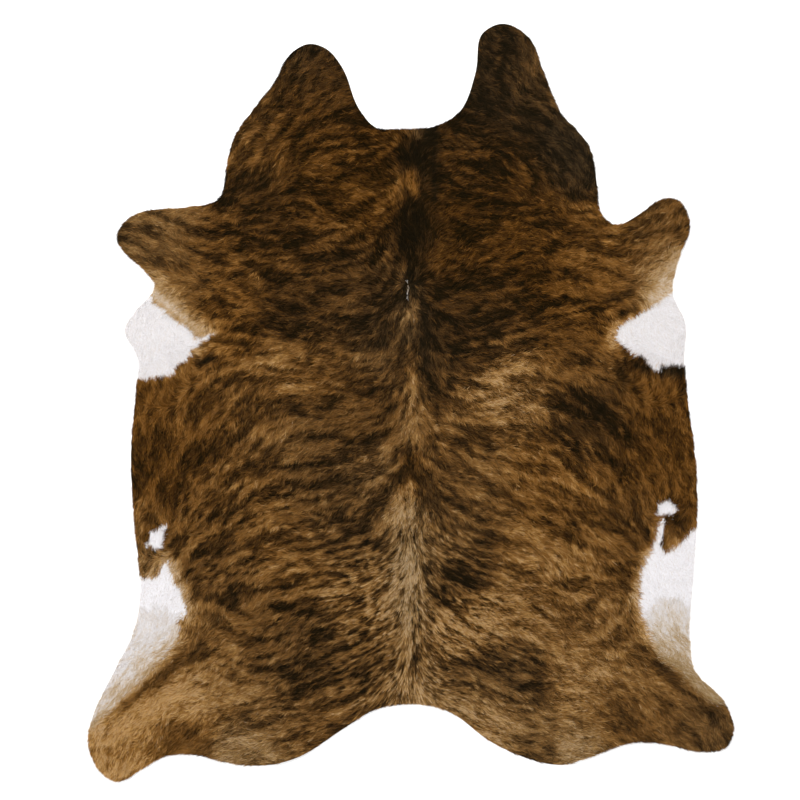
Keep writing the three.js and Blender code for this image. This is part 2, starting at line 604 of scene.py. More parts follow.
# where the brindle streaks do
SWIRLS = (
    Cowlick(240, 940, 80, 100),
    Cowlick(-540, -630, 80, -30),
    Cowlick(540, -630, 80, -30),
    Cowlick(-490, -780, 70, -10),
    Cowlick(490, -780, 70, -10),
    Cowlick(-560, 530, 70, -5),
    Cowlick(560, 530, 70, -5),
)


@dataclass
class Combing:
    """The directions of the hair and of the brindle streaks over the plan.

    Args:
        plan: The raster.
        markings: The white patches.
        rng: The source of the coat's small waves.
        wave: How far the hair wavers from its direction, in degrees, and how wide the waves are.
        ripple: The same for the smaller ripples of the hair.
        bend: The same for the waves of the streaks.
        kink: The same for the smaller kinks of the streaks.
        steady: The share of the streaks' bend that the sweep keeps.
        lean: The depths in a patch between which the hair beside it begins to lean into it.
        upright: The depth in a patch from which the hair no longer leans.
        hair: The hair's directions.
        streaks: The streaks' directions.
        sweep: Those of the streaks with fewer wavers, for the long threads of the low back.
    """

    plan: Plan
    markings: list[Marking]
    rng: np.random.Generator
    wave: tuple[float, float] = (11.0, 0.022)
    ripple: tuple[float, float] = (11.0, 0.007)
    bend: tuple[float, float] = (11.0, 0.034)
    kink: tuple[float, float] = (9.0, 0.012)
    steady: float = 0.7
    lean: tuple[float, float] = (-0.04, -0.005)
    upright: float = 0.01
    hair: Pair = field(init=False)
    streaks: Pair = field(init=False)
    sweep: Pair = field(init=False)

    def __post_init__(self) -> None:
        """Works the directions out. At the low back the hair follows the sweep."""
        x, y = self.plan.points
        side = np.where(x < 0, -1.0, 1.0)
        wave, ripple, bend, kink = (
            degrees * self.plan.grain(self.rng, spread)
            for degrees, spread in (self.wave, self.ripple, self.bend, self.kink)
        )
        drawn = self._draw(x, y, side)
        self.streaks = turned(drawn, bend + kink)
        self.sweep = turned(drawn, self.steady * bend)
        hair = self._lean_into_patches(self._lick(x, y, self._comb(x, y, side)))
        hair = turned(hair, wave + ripple)
        swept = low_back(x, y)
        same = np.sign(hair[0] * self.sweep[0] + hair[1] * self.sweep[1]) * swept
        near = 1 - swept
        self.hair = unit(*(near * own + same * sweep for own, sweep in zip(hair, self.sweep)))

    @staticmethod
    def _between(x: Array, y: Array, tables: Pair) -> Pair:
        """Reads two tables of RISING by OUT.

        Args:
            x: X of the places.
            y: Y of the places.
            tables: The tables, one row for each level and one column for each distance.

        Returns:
            Their values at each place, blended from the four nearest entries. The shares between
            two entries are eased, 3t^2 - 2t^3.
        """
        out = np.interp(np.abs(x) / MM, OUT, range(len(OUT)))
        up = np.interp(y / MM, [row.y for row in RISING], range(len(RISING)))
        i = np.minimum(out.astype(int), len(OUT) - 2)
        j = np.minimum(up.astype(int), len(RISING) - 2)
        u, v = out - i, up - j
        u, v = u * u * (3 - 2 * u), v * v * (3 - 2 * v)
        blended = []
        for table in tables:
            lower = table[j, i] * (1 - u) + table[j, i + 1] * u
            upper = table[j + 1, i] * (1 - u) + table[j + 1, i + 1] * u
            blended.append(lower * (1 - v) + upper * v)
        return tuple(blended)

    def _comb(self, x: Array, y: Array, side: Array) -> Pair:
        """The hair's direction.

        Args:
            x: X of the places.
            y: Y of the places.
            side: -1 left of the back and 1 right of it.

        Returns:
            The directions: a droop of a degrees is (side cos a, -sin a).
        """
        droops = np.radians([row.hair for row in RISING])
        across, down = self._between(x, y, (np.cos(droops), np.sin(droops)))
        return unit(across * side, -down)

    def _draw(self, x: Array, y: Array, side: Array) -> Pair:
        """The streaks' direction.

        Over the body they lie flatter than the hair, by the level's lag. It counts in full from
        220 to 480 mm out, less nearer the back, and half from 700 mm out. Beside the mane the hair
        points up, and there, up to 100 to 200 mm out, they slope down by as much. A streak has no
        front or back, so its droop is doubled before it is blended, and halved after that.

        Args:
            x: X of the places.
            y: Y of the places.
            side: -1 left of the back and 1 right of it.

        Returns:
            The directions, turned at each swirl, less and less round it.
        """
        out = np.array(OUT)
        hair = np.array([row.hair for row in RISING], float)
        lag = np.array([[row.lag] for row in RISING])
        flatter = ease(out, -60, 220) * (1 - 0.5 * ease(out, 480, 700))
        beside = 1 - ease(out, 100, 200)
        droops = 2 * np.radians(hair + beside * (np.abs(hair) - hair) - lag * flatter)
        across, down = self._between(x, y, (np.cos(droops), np.sin(droops)))
        for swirl in SWIRLS:
            weight, droop = bell(x, y, swirl), 2 * np.radians(swirl.droop)
            across = across + weight * (np.cos(droop) - across)
            down = down + weight * (np.sin(droop) - down)
        droop = np.arctan2(down, across) / 2
        return unit(side * np.cos(droop), -np.sin(droop))

    @staticmethod
    def _lick(x: Array, y: Array, along: Pair) -> Pair:
        """Turns the hair at each cowlick.

        Args:
            x: X of the places.
            y: Y of the places.
            along: The hair's directions.

        Returns:
            The directions, turned less and less round each cowlick.
        """
        dx, dy = along
        for lick in COWLICKS:
            weight, droop = bell(x, y, lick), np.radians(lick.droop)
            dx = dx * (1 - weight) + weight * np.sign(lick.x) * np.cos(droop)
            dy = dy * (1 - weight) - weight * np.sin(droop)
        return unit(dx, dy)

    def _lean_into_patches(self, along: Pair) -> Pair:
        """Turns the hair beside each white patch towards it.

        Args:
            along: The hair's directions.

        Returns:
            The directions, turned less and less away from each patch.
        """
        dx, dy = along
        for marking in self.markings:
            depth = marking.depth
            weight = marking.patch.pull * ease(depth, *self.lean) * (depth < self.upright)
            dx, dy = dx + weight * marking.inward[0], dy + weight * marking.inward[1]
        return unit(dx, dy)


# ---- The brindle ----


class Ground(NamedTuple):
    """The look of one area of the coat: a place and reach in millimetres.

    tone runs from 0, black-brown, to 1, white. warmth runs from 0, grey-tan, to 1, orange-brown.
    bold is how strongly the streaks stand out, against 1 over most of the coat.
    """

    name: str
    x: float
    y: float
    reach: float
    tone: float
    warmth: float
    bold: float


GROUNDS = (
    Ground("left lobe tip", -300, 980, 60, 0.29, 0.4, 0.7),
    Ground("left lobe edge", -420, 850, 50, 0.40, 0.6, 0.7),
    Ground("left lobe inside", -205, 925, 52, 0.15, 0.6, 0.7),
    Ground("left lobe", -290, 860, 75, 0.24, 0.8, 0.8),
    Ground("left nape", -250, 740, 90, 0.21, 0.9, 0.88),
    Ground("left throat", -460, 700, 60, 0.50, 0.7, 0.8),
    Ground("left cheek", -420, 600, 70, 0.13, 0.7, 1.0),
    Ground("left withers", -160, 630, 70, 0.36, 0.95, 0.88),
    Ground("left of the mane", -110, 530, 55, 0.46, 0.95, 1.1),
    Ground("right lobe tip", 240, 1020, 70, 0.18, 0.4, 0.6),
    Ground("right lobe", 240, 880, 80, 0.12, 0.4, 0.6),
    Ground("right lobe side", 325, 890, 40, 0.26, 0.4, 0.8),
    Ground("right lobe edge", 365, 920, 45, 0.38, 0.4, 0.8),
    Ground("right throat", 450, 710, 60, 0.17, 0.1, 0.5),
    Ground("right nape", 150, 700, 70, 0.18, 0.8, 1.0),
    Ground("right withers", 280, 600, 80, 0.20, 0.9, 0.88),
    Ground("right of the mane", 110, 480, 60, 0.16, 0.9, 1.0),
    Ground("left shoulder", -300, 410, 100, 0.27, 0.8, 0.88),
    Ground("left blade", -150, 330, 80, 0.20, 0.5, 0.9),
    Ground("under the left blade", -310, 290, 60, 0.16, 0.6, 0.9),
    Ground("right shoulder", 300, 420, 110, 0.22, 1.0, 0.88),
    Ground("left fore leg root", -540, 430, 70, 0.29, 0.8, 0.9),
    Ground("left fore leg", -700, 490, 70, 0.46, 0.4, 0.9),
    Ground("left elbow", -640, 350, 50, 0.40, 0.6, 0.8),
    Ground("left elbow rim", -700, 290, 40, 0.84, 0.4, 0.4),
    Ground("right fore leg root", 520, 440, 70, 0.48, 0.8, 0.9),
    Ground("right fore leg", 690, 510, 60, 0.44, 0.6, 0.7),
    Ground("right elbow", 690, 380, 45, 0.60, 0.5, 0.4),
    Ground("left armpit", -530, 240, 60, 0.42, 0.9, 0.9),
    Ground("right armpit", 480, 290, 60, 0.24, 0.9, 1.0),
    Ground("above the band", 420, 180, 50, 0.20, 0.8, 0.9),
    Ground("left ribs", -250, 220, 70, 0.30, 0.6, 0.9),
    Ground("left of the spine", -100, 200, 50, 0.34, 0.4, 0.8),
    Ground("right ribs", 200, 260, 80, 0.17, 0.6, 0.9),
    Ground("left side edge", -785, 20, 42, 0.46, 0.9, 0.7),
    Ground("left side", -285, 110, 68, 0.55, 0.7, 0.9),
    Ground("golden band", 280, 66, 72, 0.63, 0.6, 1.2),
    Ground("golden band end", 440, 90, 50, 0.34, 0.7, 0.9),
    Ground("right of the spine", 60, 150, 42, 0.22, 0.5, 0.8),
    Ground("right dark flank", 520, -60, 64, 0.15, 0.6, 0.9),
    Ground("left flank", -450, 10, 60, 0.45, 0.7, 1.0),
    Ground("left pale flank", -430, -80, 50, 0.47, 0.6, 1.0),
    Ground("left dark flank", -300, -110, 55, 0.28, 0.5, 1.05),
    Ground("left belly", -720, -150, 80, 0.30, 0.9, 0.6),
    Ground("left belly side", -590, -60, 60, 0.38, 0.8, 0.7),
    Ground("right belly", 700, -120, 90, 0.39, 0.9, 0.6),
    Ground("left loin", -160, -60, 55, 0.28, 0.6, 0.9),
    Ground("left low loin", -120, -200, 50, 0.54, 0.4, 1.05),
    Ground("right loin", 150, -110, 60, 0.45, 0.6, 0.9),
    Ground("right low flank", 395, -250, 78, 0.49, 0.8, 0.9),
    Ground("right flank edge", 600, -320, 65, 0.35, 0.7, 0.8),
    Ground("left low flank", -520, -260, 80, 0.38, 0.7, 1.15),
    Ground("left groin side", -785, -330, 48, 0.54, 0.7, 0.7),
    Ground("left hip", -180, -330, 80, 0.33, 0.5, 1.1),
    Ground("right hip", 170, -300, 70, 0.41, 0.55, 0.9),
    Ground("right of the ridge", 110, -390, 45, 0.56, 0.45, 0.9),
    Ground("right dark hip", 130, -490, 54, 0.16, 0.5, 1.2),
    Ground("right gold hip", 400, -450, 80, 0.50, 0.7, 1.0),
    Ground("right low hip", 330, -550, 60, 0.63, 0.6, 1.0),
    Ground("left gold hip", -350, -450, 70, 0.46, 0.7, 1.15),
    Ground("left dark hip", -510, -510, 65, 0.33, 0.6, 1.05),
    Ground("left stifle", -560, -690, 70, 0.62, 0.6, 0.6),
    Ground("left low hip", -410, -600, 50, 0.25, 0.6, 1.1),
    Ground("left rump", -300, -730, 90, 0.25, 0.5, 1.35),
    Ground("left of the tail", -140, -560, 60, 0.52, 0.6, 1.45),
    Ground("right of the tail", 180, -630, 60, 0.70, 0.65, 1.4),
    Ground("right rump", 240, -780, 70, 0.34, 0.4, 1.1),
    Ground("right thigh", 520, -700, 80, 0.55, 0.6, 0.75),
    Ground("right low thigh", 492, -786, 50, 0.84, 0.6, 0.7),
    Ground("left leg root", -638, -816, 60, 0.93, 0.7, 0.42),
    Ground("left hind leg", -790, -905, 80, 0.85, 0.8, 0.38),
    Ground("left hock", -650, -960, 50, 0.37, 0.7, 0.6),
    Ground("right hind leg", 640, -900, 80, 0.49, 0.6, 0.6),
    Ground("right hock", 850, -930, 60, 0.40, 0.4, 0.7),
    Ground("left seat", -240, -920, 60, 0.51, 0.6, 1.0),
    Ground("left leg shade", -528, -822, 42, 0.52, 0.6, 0.9),
    Ground("left low seat", -400, -880, 50, 0.55, 0.5, 0.9),
    Ground("left cream seat", -470, -1000, 50, 0.70, 0.3, 0.6),
    Ground("right seat", 200, -920, 60, 0.80, 0.5, 0.8),
    Ground("right low seat", 330, -970, 45, 0.46, 0.4, 0.9),
    Ground("right cream seat", 480, -1000, 44, 0.76, 0.3, 0.6),
)


class Ridge(NamedTuple):
    """The line of hair along the back: its place and half width in mm, and its look.

    strength is how far it covers the ground.
    """

    y: float
    x: float
    width: float
    tone: float
    warmth: float
    bold: float
    strength: float


SPINE = (
    Ridge(775, 36, 22, 0.08, 0.3, 0.6, 0.9),
    Ridge(740, 28, 26, 0.05, 0.5, 0.5, 1.0),
    Ridge(690, 10, 34, 0.04, 0.5, 0.5, 1.0),
    Ridge(640, 10, 36, 0.07, 0.5, 0.7, 0.95),
    Ridge(600, 10, 38, 0.10, 0.6, 0.7, 0.95),
    Ridge(555, 12, 33, 0.05, 0.6, 0.6, 1.0),
    Ridge(460, 8, 46, 0.02, 0.5, 0.5, 1.0),
    Ridge(400, 2, 34, 0.18, 0.6, 0.8, 0.9),
    Ridge(340, -4, 28, 0.34, 0.3, 0.8, 0.8),
    Ridge(300, -4, 26, 0.40, 0.2, 0.8, 0.8),
    Ridge(250, -4, 24, 0.64, 0.3, 0.8, 0.9),
    Ridge(205, -6, 22, 0.34, 0.2, 0.8, 0.9),
    Ridge(150, -4, 22, 0.42, 0.5, 0.9, 0.9),
    Ridge(90, -4, 24, 0.56, 0.6, 0.9, 0.9),
    Ridge(40, -4, 24, 0.50, 0.5, 0.9, 0.9),
    Ridge(-30, -4, 26, 0.50, 0.5, 0.9, 0.9),
    Ridge(-72, -4, 25, 0.57, 0.4, 0.8, 0.9),
    Ridge(-110, -2, 26, 0.44, 0.5, 0.9, 0.9),
    Ridge(-155, 0, 24, 0.26, 0.8, 0.9, 0.9),
    Ridge(-230, -2, 32, 0.52, 0.7, 1.0, 0.9),
    Ridge(-300, -2, 42, 0.70, 0.3, 1.4, 0.9),
    Ridge(-370, -8, 40, 0.75, 0.2, 1.3, 0.9),
    Ridge(-440, -8, 40, 0.82, 0.1, 1.3, 0.9),
    Ridge(-510, -6, 38, 0.75, 0.2, 1.3, 0.9),
    Ridge(-580, -4, 36, 0.78, 0.1, 1.3, 0.9),
    Ridge(-650, -2, 33, 0.58, 0.3, 1.3, 0.85),
    Ridge(-730, 2, 33, 0.58, 0.4, 1.3, 0.85),
    Ridge(-790, 6, 54, 0.88, 0.4, 1.0, 0.85),
    Ridge(-880, 10, 80, 0.9, 0.4, 0.9, 0.8),
)


class Stroke(NamedTuple):
    """One size of streak: its spread across and its length in mm, and its share.

    With a crest above 0 it is thin pale lines, drawn where the noise crosses 0. A wider crest
    gives wider lines.
    """

    name: str
    across: float
    length: float
    share: float
    crest: float = 0.0


class Stripe(NamedTuple):
    """A marked stripe or small area of the coat, in millimetres.

    It runs from x, y to to_x, to_y and fades out over its width. strength is how far it covers
    what lies under it.
    """

    name: str
    x: float
    y: float
    to_x: float
    to_y: float
    width: float
    tone: float
    warmth: float
    strength: float


STRIPES = (
    Stripe("neck tuft", 14, 800, 17, 752, 9, 0.48, 0.2, 0.75),
    Stripe("mane tuft", 6, 592, -2, 640, 12, 0.46, 1.0, 0.9),
    Stripe("left mane rim", -34, 616, -86, 520, 15, 0.48, 0.9, 0.8),
    # A painted shadow along a crease in the neck.
    Stripe("neck crease shadow", 59, 780, 58, 570, 5, 0.02, 0.4, 0.8),
    Stripe("shade by the spine", 38, 265, 42, 110, 13, 0.06, 0.3, 0.8),
    Stripe("left armpit fringe", -738, 322, -592, 207, 23, 0.95, 0.3, 0.95),
    Stripe("left armpit corner", -594, 205, -600, 148, 13, 0.90, 0.4, 0.85),
    Stripe("right armpit fringe", 742, 330, 678, 297, 21, 0.97, 0.3, 0.97),
    Stripe("right armpit shade", 652, 286, 612, 262, 11, 0.30, 0.5, 0.7),
    Stripe("right elbow rim", 752, 395, 704, 330, 32, 0.945, 0.3, 0.92),
    Stripe("right armpit corner", 574, 228, 568, 170, 17, 0.86, 0.7, 0.85),
    Stripe("over the right armpit", 556, 294, 618, 314, 11, 0.10, 0.6, 0.8),
    Stripe("under the left armpit", -596, 114, -562, 134, 10, 0.06, 0.5, 0.8),
    Stripe("under the right armpit", 642, 100, 672, 84, 10, 0.12, 0.5, 0.8),
    Stripe("below the left armpit", -785, 62, -650, 82, 13, 0.64, 0.8, 0.7),
    Stripe("right armpit tips", 712, 84, 775, 83, 14, 0.07, 0.2, 0.85),
    Stripe("left flank patch", -752, -440, -736, -476, 28, 0.66, 0.4, 0.9),
    Stripe("left groin fringe", -688, -456, -640, -568, 18, 0.94, 0.4, 0.95),
    Stripe("left stifle shade", -604, -480, -602, -530, 14, 0.16, 0.6, 0.6),
    Stripe("left thigh rim", -650, -690, -800, -826, 11, 0.80, 0.4, 0.8),
    Stripe("left thigh shade", -596, -690, -716, -780, 22, 0.21, 0.6, 0.72),
    Stripe("left thigh stripe", -700, -770, -864, -896, 13, 0.30, 0.6, 0.75),
    Stripe("right flank tuft", 745, -350, 742, -400, 22, 0.34, 0.7, 0.9),
    Stripe("right groin fringe", 664, -440, 630, -572, 14, 0.90, 0.5, 0.85),
    Stripe("right thigh fold", 642, -580, 690, -682, 13, 0.86, 0.6, 0.8),
    Stripe("right thigh rim", 690, -684, 846, -818, 11, 0.84, 0.5, 0.8),
    Stripe("right thigh stripe", 698, -740, 860, -864, 14, 0.26, 0.5, 0.85),
    Stripe("left fore leg shade", -820, 470, -640, 405, 12, 0.20, 0.4, 0.6),
)


@dataclass
class Brindle:
    """The colour of the coat over the plan, as a tone and a warmth.

    Args:
        plan: The raster.
        markings: The white patches.
        combing: The directions of hair and streaks.
        rng: The source of the streaks.
        strokes: The sizes of the streaks.
        threads: The long streaks of the low back, which stand for most of the others there.
        contrast: How far the streaks go from the ground's tone to both sides.
        crispness: How sharply dark and pale hair part.
        strand: The strands that the hair itself hangs together in.
        threaded: How much of the streaks the threads take the place of.
        calmed: The tones between which streaks and grain are calmed, in the palest hair.
        calm: How much weaker they are there.
        tongues: How far the parting and the strands move the start of a fade, in millimetres.
        flow: How far the strands vary the fall.
        border: The size of the grain that makes the patches' borders ragged.
        tone: The tone of the coloured hair.
        warmth: Its warmth.
        white: How far inside a white patch each place lies, against how softly its border mixes.
        fall: How far the hair of a patch falls below its white.
        pale_tone: The white of the patch that a place is deepest in, or nearest to.
        pale_warmth: The warmth of that patch.
        grain: How far single locks and strands differ in tone, against 1 in tan hair.
    """

    plan: Plan
    markings: list[Marking]
    combing: Combing
    rng: np.random.Generator
    strokes: tuple[Stroke, ...] = (
        Stroke("bands", 11, 110, 0.5),
        Stroke("streaks", 5.0, 60, 0.7),
        Stroke("crests", 7.0, 70, 0.4, crest=0.45),
        Stroke("flecks", 2.4, 20, 0.5),
    )
    threads: tuple[Stroke, ...] = (
        Stroke("threads", 4.6, 230, 1.1, crest=0.32),
        Stroke("thin threads", 1.7, 90, 0.7),
    )
    contrast: float = 0.172
    crispness: float = 1.0
    strand: Stroke = Stroke("strands", 0.9, 9, 0.10)
    threaded: float = 0.65
    calmed: tuple[float, float] = (0.85, 0.93)
    calm: float = 0.8
    tongues: tuple[float, float] = (10, 6)
    flow: float = 0.32
    border: float = 5 * MM
    tone: Array = field(init=False)
    warmth: Array = field(init=False)
    white: Array = field(init=False)
    fall: Array = field(init=False)
    pale_tone: Array = field(init=False)
    pale_warmth: Array = field(init=False)
    grain: Array = field(init=False)

    def __post_init__(self) -> None:
        """Works the fields out.

        The streaks and the grain are calmed in the palest hair, and both are weaker where the
        coat is nearly black. The grain also grows with the tone and where the streaks are bold.
        """
        x, y = self.plan.points
        tone, warmth, bold = self._spine(x, y, self._ground(x, y))
        tone, warmth = self._stripes(x, y, tone, warmth)
        parting, strands = self._parting(x, y), self._strands()
        even = 1 - self.calm * ease(tone, *self.calmed)
        growth = 0.52 + 0.3 * ease(tone, 0, 0.3) + 0.7 * ease(tone, 0.38, 0.78)
        self.grain = (0.65 + 0.35 * bold) * even * growth
        streaks = self.contrast * bold * even * parting * (0.35 + 0.65 * ease(tone, 0.02, 0.3))
        tone = stirred(tone, streaks + self.grain * self.strand.share * strands)
        self.fall = self._fall(x, y, parting, strands)
        nearest = np.argmax([mark.depth for mark in self.markings], 0)
        self.pale_tone, self.pale_warmth = (
            np.array([getattr(mark.patch, name) for mark in self.markings], np.float32)[nearest]
            for name in ("white", "warmth")
        )
        self.white = self._white()
        paler = np.minimum(tone + self._halo(), 0.9)
        self.tone = np.clip(np.maximum(tone, paler), 0, 0.93).astype(np.float32)
        self.warmth = np.clip(warmth, 0, 1).astype(np.float32)

    @staticmethod
    def _ground(x: Array, y: Array) -> tuple[Array, ...]:
        """Blends the areas' looks, each weighted by its bell curve.

        Args:
            x: X of the places.
            y: Y of the places.

        Returns:
            The tone, the warmth and the boldness. Far from all areas a thin common ground of 0.4,
            0.6 and 0.9 shows through.
        """
        total = np.full(x.shape, 0.01)
        looks = [common * total for common in (0.4, 0.6, 0.9)]
        for area in GROUNDS:
            weight = bell(x, y, area)
            total = total + weight
            own = (area.tone, area.warmth, area.bold)
            looks = [look + weight * part for look, part in zip(looks, own)]
        return tuple(look / total for look in looks)

    @staticmethod
    def _spine(x: Array, y: Array, looks: tuple[Array, ...]) -> tuple[Array, ...]:
        """Lays the line of hair along the back over the ground.

        Args:
            x: X of the places.
            y: Y of the places.
            looks: The ground's tone, warmth and boldness.

        Returns:
            The same with the line on them. Its weight falls off to both sides as a bell curve of
            its half width at that level.
        """
        rows = SPINE[::-1]
        level = [row.y * MM for row in rows]
        middle, width, tone, warmth, bold, strength = (
            np.interp(y, level, [getattr(row, name) for row in rows])
            for name in ("x", "width", "tone", "warmth", "bold", "strength")
        )
        weight = strength * np.exp(-(((x / MM - middle) / width) ** 2) / 2)
        return tuple(look + weight * (own - look) for look, own in zip(looks, (tone, warmth, bold)))

    @staticmethod
    def _stripes(x: Array, y: Array, tone: Array, warmth: Array) -> Pair:
        """Lays the marked stripes over the rest, each as a bell curve across its line.

        Args:
            x: X of the places.
            y: Y of the places.
            tone: The tones so far.
            warmth: The warmths so far.

        Returns:
            The tones and the warmths.
        """
        for row in STRIPES:
            line = Limb(row.x, row.y, 0, row.to_x, row.to_y, 0)
            away = line.depth(x / MM, y / MM)
            weight = row.strength * np.exp(-((away / row.width) ** 2) / 2)
            tone = tone + weight * (row.tone - tone)
            warmth = warmth + weight * (row.warmth - warmth)
        return tone, warmth

    def _parting(self, x: Array, y: Array) -> Array:
        """Works out where the hair is dark and where it is pale.

        Args:
            x: X of the places.
            y: Y of the places.

        Returns:
            The streaks of all sizes together, from -1.3 in dark hair to 1.3 in pale hair. At the
            low back the threads stand for most of them. The sum goes through tanh, which levels
            its dark and pale parts and steepens what lies between.
        """
        streaks, sweep = self.combing.streaks, self.combing.sweep
        mix = sum(stroke.share * self._drawn(stroke, streaks) for stroke in self.strokes)
        threads = sum(stroke.share * self._drawn(stroke, sweep) for stroke in self.threads)
        mix = mix + low_back(x, y) * (threads - self.threaded * mix)
        return np.tanh(self.crispness * mix) / np.tanh(self.crispness)

    def _drawn(self, stroke: Stroke, along: Pair) -> Array:
        """Draws streaks of one size.

        Args:
            stroke: Their size.
            along: Their directions.

        Returns:
            Noise of the stroke's width, drawn out along them, and 3 mm along the hair. With a
            crest c the noise n becomes exp(-(n / c)^2).
        """
        grain = self.plan.grain(self.rng, stroke.across * MM)
        drawn = self.plan.smear(grain, along, stroke.length * MM)
        drawn = standard(self.plan.smear(drawn, self.combing.hair, 3 * MM))
        return standard(np.exp(-((drawn / stroke.crest) ** 2))) if stroke.crest else drawn

    def _strands(self) -> Array:
        """Fine noise drawn out along the hair."""
        strands = self.plan.grain(self.rng, self.strand.across * MM)
        return standard(self.plan.smear(strands, self.combing.hair, self.strand.length * MM))

    def _fall(self, x: Array, y: Array, parting: Array, strands: Array) -> Array:
        """How far the hair of the patches falls below their white.

        Args:
            x: X of the places.
            y: Y of the places.
            parting: Where the hair is dark and where it is pale.
            strands: The strands that it hangs together in.

        Returns:
            The fall. The parting and the strands move the start of each fade, so that it runs out
            in tongues, and the strands vary it as well.
        """
        by_parting, by_strand = self.tongues
        tongues = y / MM + by_parting * parting + by_strand * strands
        falls = [mark.fall(x / MM, tongues) for mark in self.markings]
        return (np.max(falls, 0) * (1 + self.flow * np.tanh(strands))).astype(np.float32)

    def _white(self) -> Array:
        """Makes the patches' borders ragged and soft.

        Returns:
            How far inside a white patch each place lies, against how softly its border mixes.
        """
        grain = self.plan.grain(self.rng, self.border)
        inside = [
            (mark.depth / MM + mark.patch.ragged * grain) / mark.patch.soft
            for mark in self.markings
        ]
        return np.max(inside, 0).astype(np.float32)

    def _halo(self) -> Array:
        """Makes the coloured hair beside the patches paler.

        Returns:
            How far its tone is lifted, on one side of each patch and less and less away from it.
        """
        lift = np.zeros(self.plan.shape)
        for mark in self.markings:
            near = ease(mark.depth / MM, -mark.patch.reach, 4)
            lift += mark.patch.halo * near * mark.beside()
        return lift


# ---- Finishes ----

Colour = tuple[float, float, float]
Feeds = dict[str | int, Any]  # what a node's inputs get, by name or number


def linear(colour: Colour) -> tuple[float, float, float, float]:
    """Turns an sRGB colour into linear light.

    Args:
        colour: Red, green and blue from 0 to 255.

    Returns:
        The same as linear light, with alpha 1.
    """
    share = np.array(colour) / 255
    light = np.where(share <= 0.04045, share / 12.92, ((share + 0.055) / 1.055) ** 2.4)
    return (*light.tolist(), 1.0)


class Graph:
    """The nodes of a material or a world."""

    def __init__(self, owner: bpy.types.Material | bpy.types.World) -> None:
        """Switches the nodes of a material or a world on."""
        owner.use_nodes = True
        self.nodes, self.links = owner.node_tree.nodes, owner.node_tree.links

    def feed(self, node: bpy.types.Node, inputs: Feeds) -> None:
        """Links a node's inputs to other nodes' outputs, or sets them to values.

        Args:
            node: The node.
            inputs: An output or a value for each input.
        """
        for name, value in inputs.items():
            if isinstance(value, Socket):
                self.links.new(value, node.inputs[name])
            else:
                node.inputs[name].default_value = value

    def add(self, kind: str, inputs: Feeds, **settings: str) -> bpy.types.Node:
        """Adds a node.

        Args:
            kind: Its type.
            inputs: An output or a value for each input that gets one.
            settings: Its own settings.

        Returns:
            The node.
        """
        node = self.nodes.new(kind)
        for name, value in settings.items():
            setattr(node, name, value)
        self.feed(node, inputs)
        return node

    def ramp(self, share: Socket, places: tuple[float, ...], colours: tuple[Colour, ...]) -> Socket:
        """Adds a colour ramp.

        Args:
            share: What is looked up on it, from 0 to 1.
            places: Where the colours stand on it.
            colours: The colours.

        Returns:
            Its colour output.
        """
        ramp = self.add("ShaderNodeValToRGB", {0: share})
        stops = ramp.color_ramp.elements
        for place in places[1:-1]:
            stops.new(place)
        for stop, place, colour in zip(stops, places, colours):
            stop.position = place
            stop.color = linear(colour)
        return ramp.outputs[0]


def new_material(name: str) -> tuple[bpy.types.Material, Graph, bpy.types.Node]:
    """Makes a material.

    Args:
        name: Its name.

    Returns:
        The material, its nodes and its Principled shader.
    """
    material = bpy.data.materials.new(name)
    graph = Graph(material)
    return material, graph, graph.nodes["Principled BSDF"]


@dataclass(frozen=True)
class HairFinish:
    """The colours of the hair from black-brown to white, on a warm and a grey scale.

    Args:
        tones: Where each colour stands on the tone scale.
        warm: The colours of orange-brown hair.
        grey: The colours of grey-tan hair.
        roughness: Roughness at the dark and at the white end.
        specular: The strength of the shine.
        shine: The colour of the shine.
    """

    tones: tuple[float, ...] = (0, 0.12, 0.25, 0.38, 0.5, 0.62, 0.72, 0.8, 0.87, 0.93, 0.97, 1)
    warm: tuple[Colour, ...] = (
        (9, 7, 2),
        (28, 18, 3),
        (57, 34, 10),
        (86, 53, 17),
        (112, 72, 26),
        (138, 92, 38),
        (156, 109, 50),
        (180, 132, 66),
        (205, 160, 97),
        (214, 184, 144),
        (221, 217, 217),
        (244, 242, 244),
    )
    grey: tuple[Colour, ...] = (
        (11, 10, 6),
        (28, 22, 13),
        (50, 40, 26),
        (73, 57, 36),
        (95, 74, 46),
        (118, 92, 58),
        (137, 109, 71),
        (155, 127, 84),
        (180, 155, 119),
        (206, 191, 172),
        (220, 216, 216),
        (243, 241, 244),
    )
    roughness: tuple[float, float] = (0.5, 0.7)
    specular: float = 0.04
    shine: Colour = (255, 226, 170)

    def material(self, name: str, source: HairSource) -> bpy.types.Material:
        """Builds the hair's material.

        Args:
            name: The material's name.
            source: Where the tone and warmth are read from.

        Returns:
            A material whose colour is the grey scale blended with the warm one by the warmth, and
            whose roughness rises evenly with the tone.
        """
        material, graph, shader = new_material(name)
        tone, warmth = source.sockets(graph)
        grey, warm = (graph.ramp(tone, self.tones, colours) for colours in (self.grey, self.warm))
        mix = graph.add("ShaderNodeMix", {0: warmth, 6: grey, 7: warm}, data_type="RGBA")
        ends = dict(zip(("To Min", "To Max"), self.roughness))
        rough = graph.add("ShaderNodeMapRange", {"Value": tone, **ends})
        finish = {
            "Base Color": mix.outputs[2],
            "Roughness": rough.outputs[0],
            "Specular IOR Level": self.specular,
            "Specular Tint": linear(self.shine),
        }
        graph.feed(shader, finish)
        return material


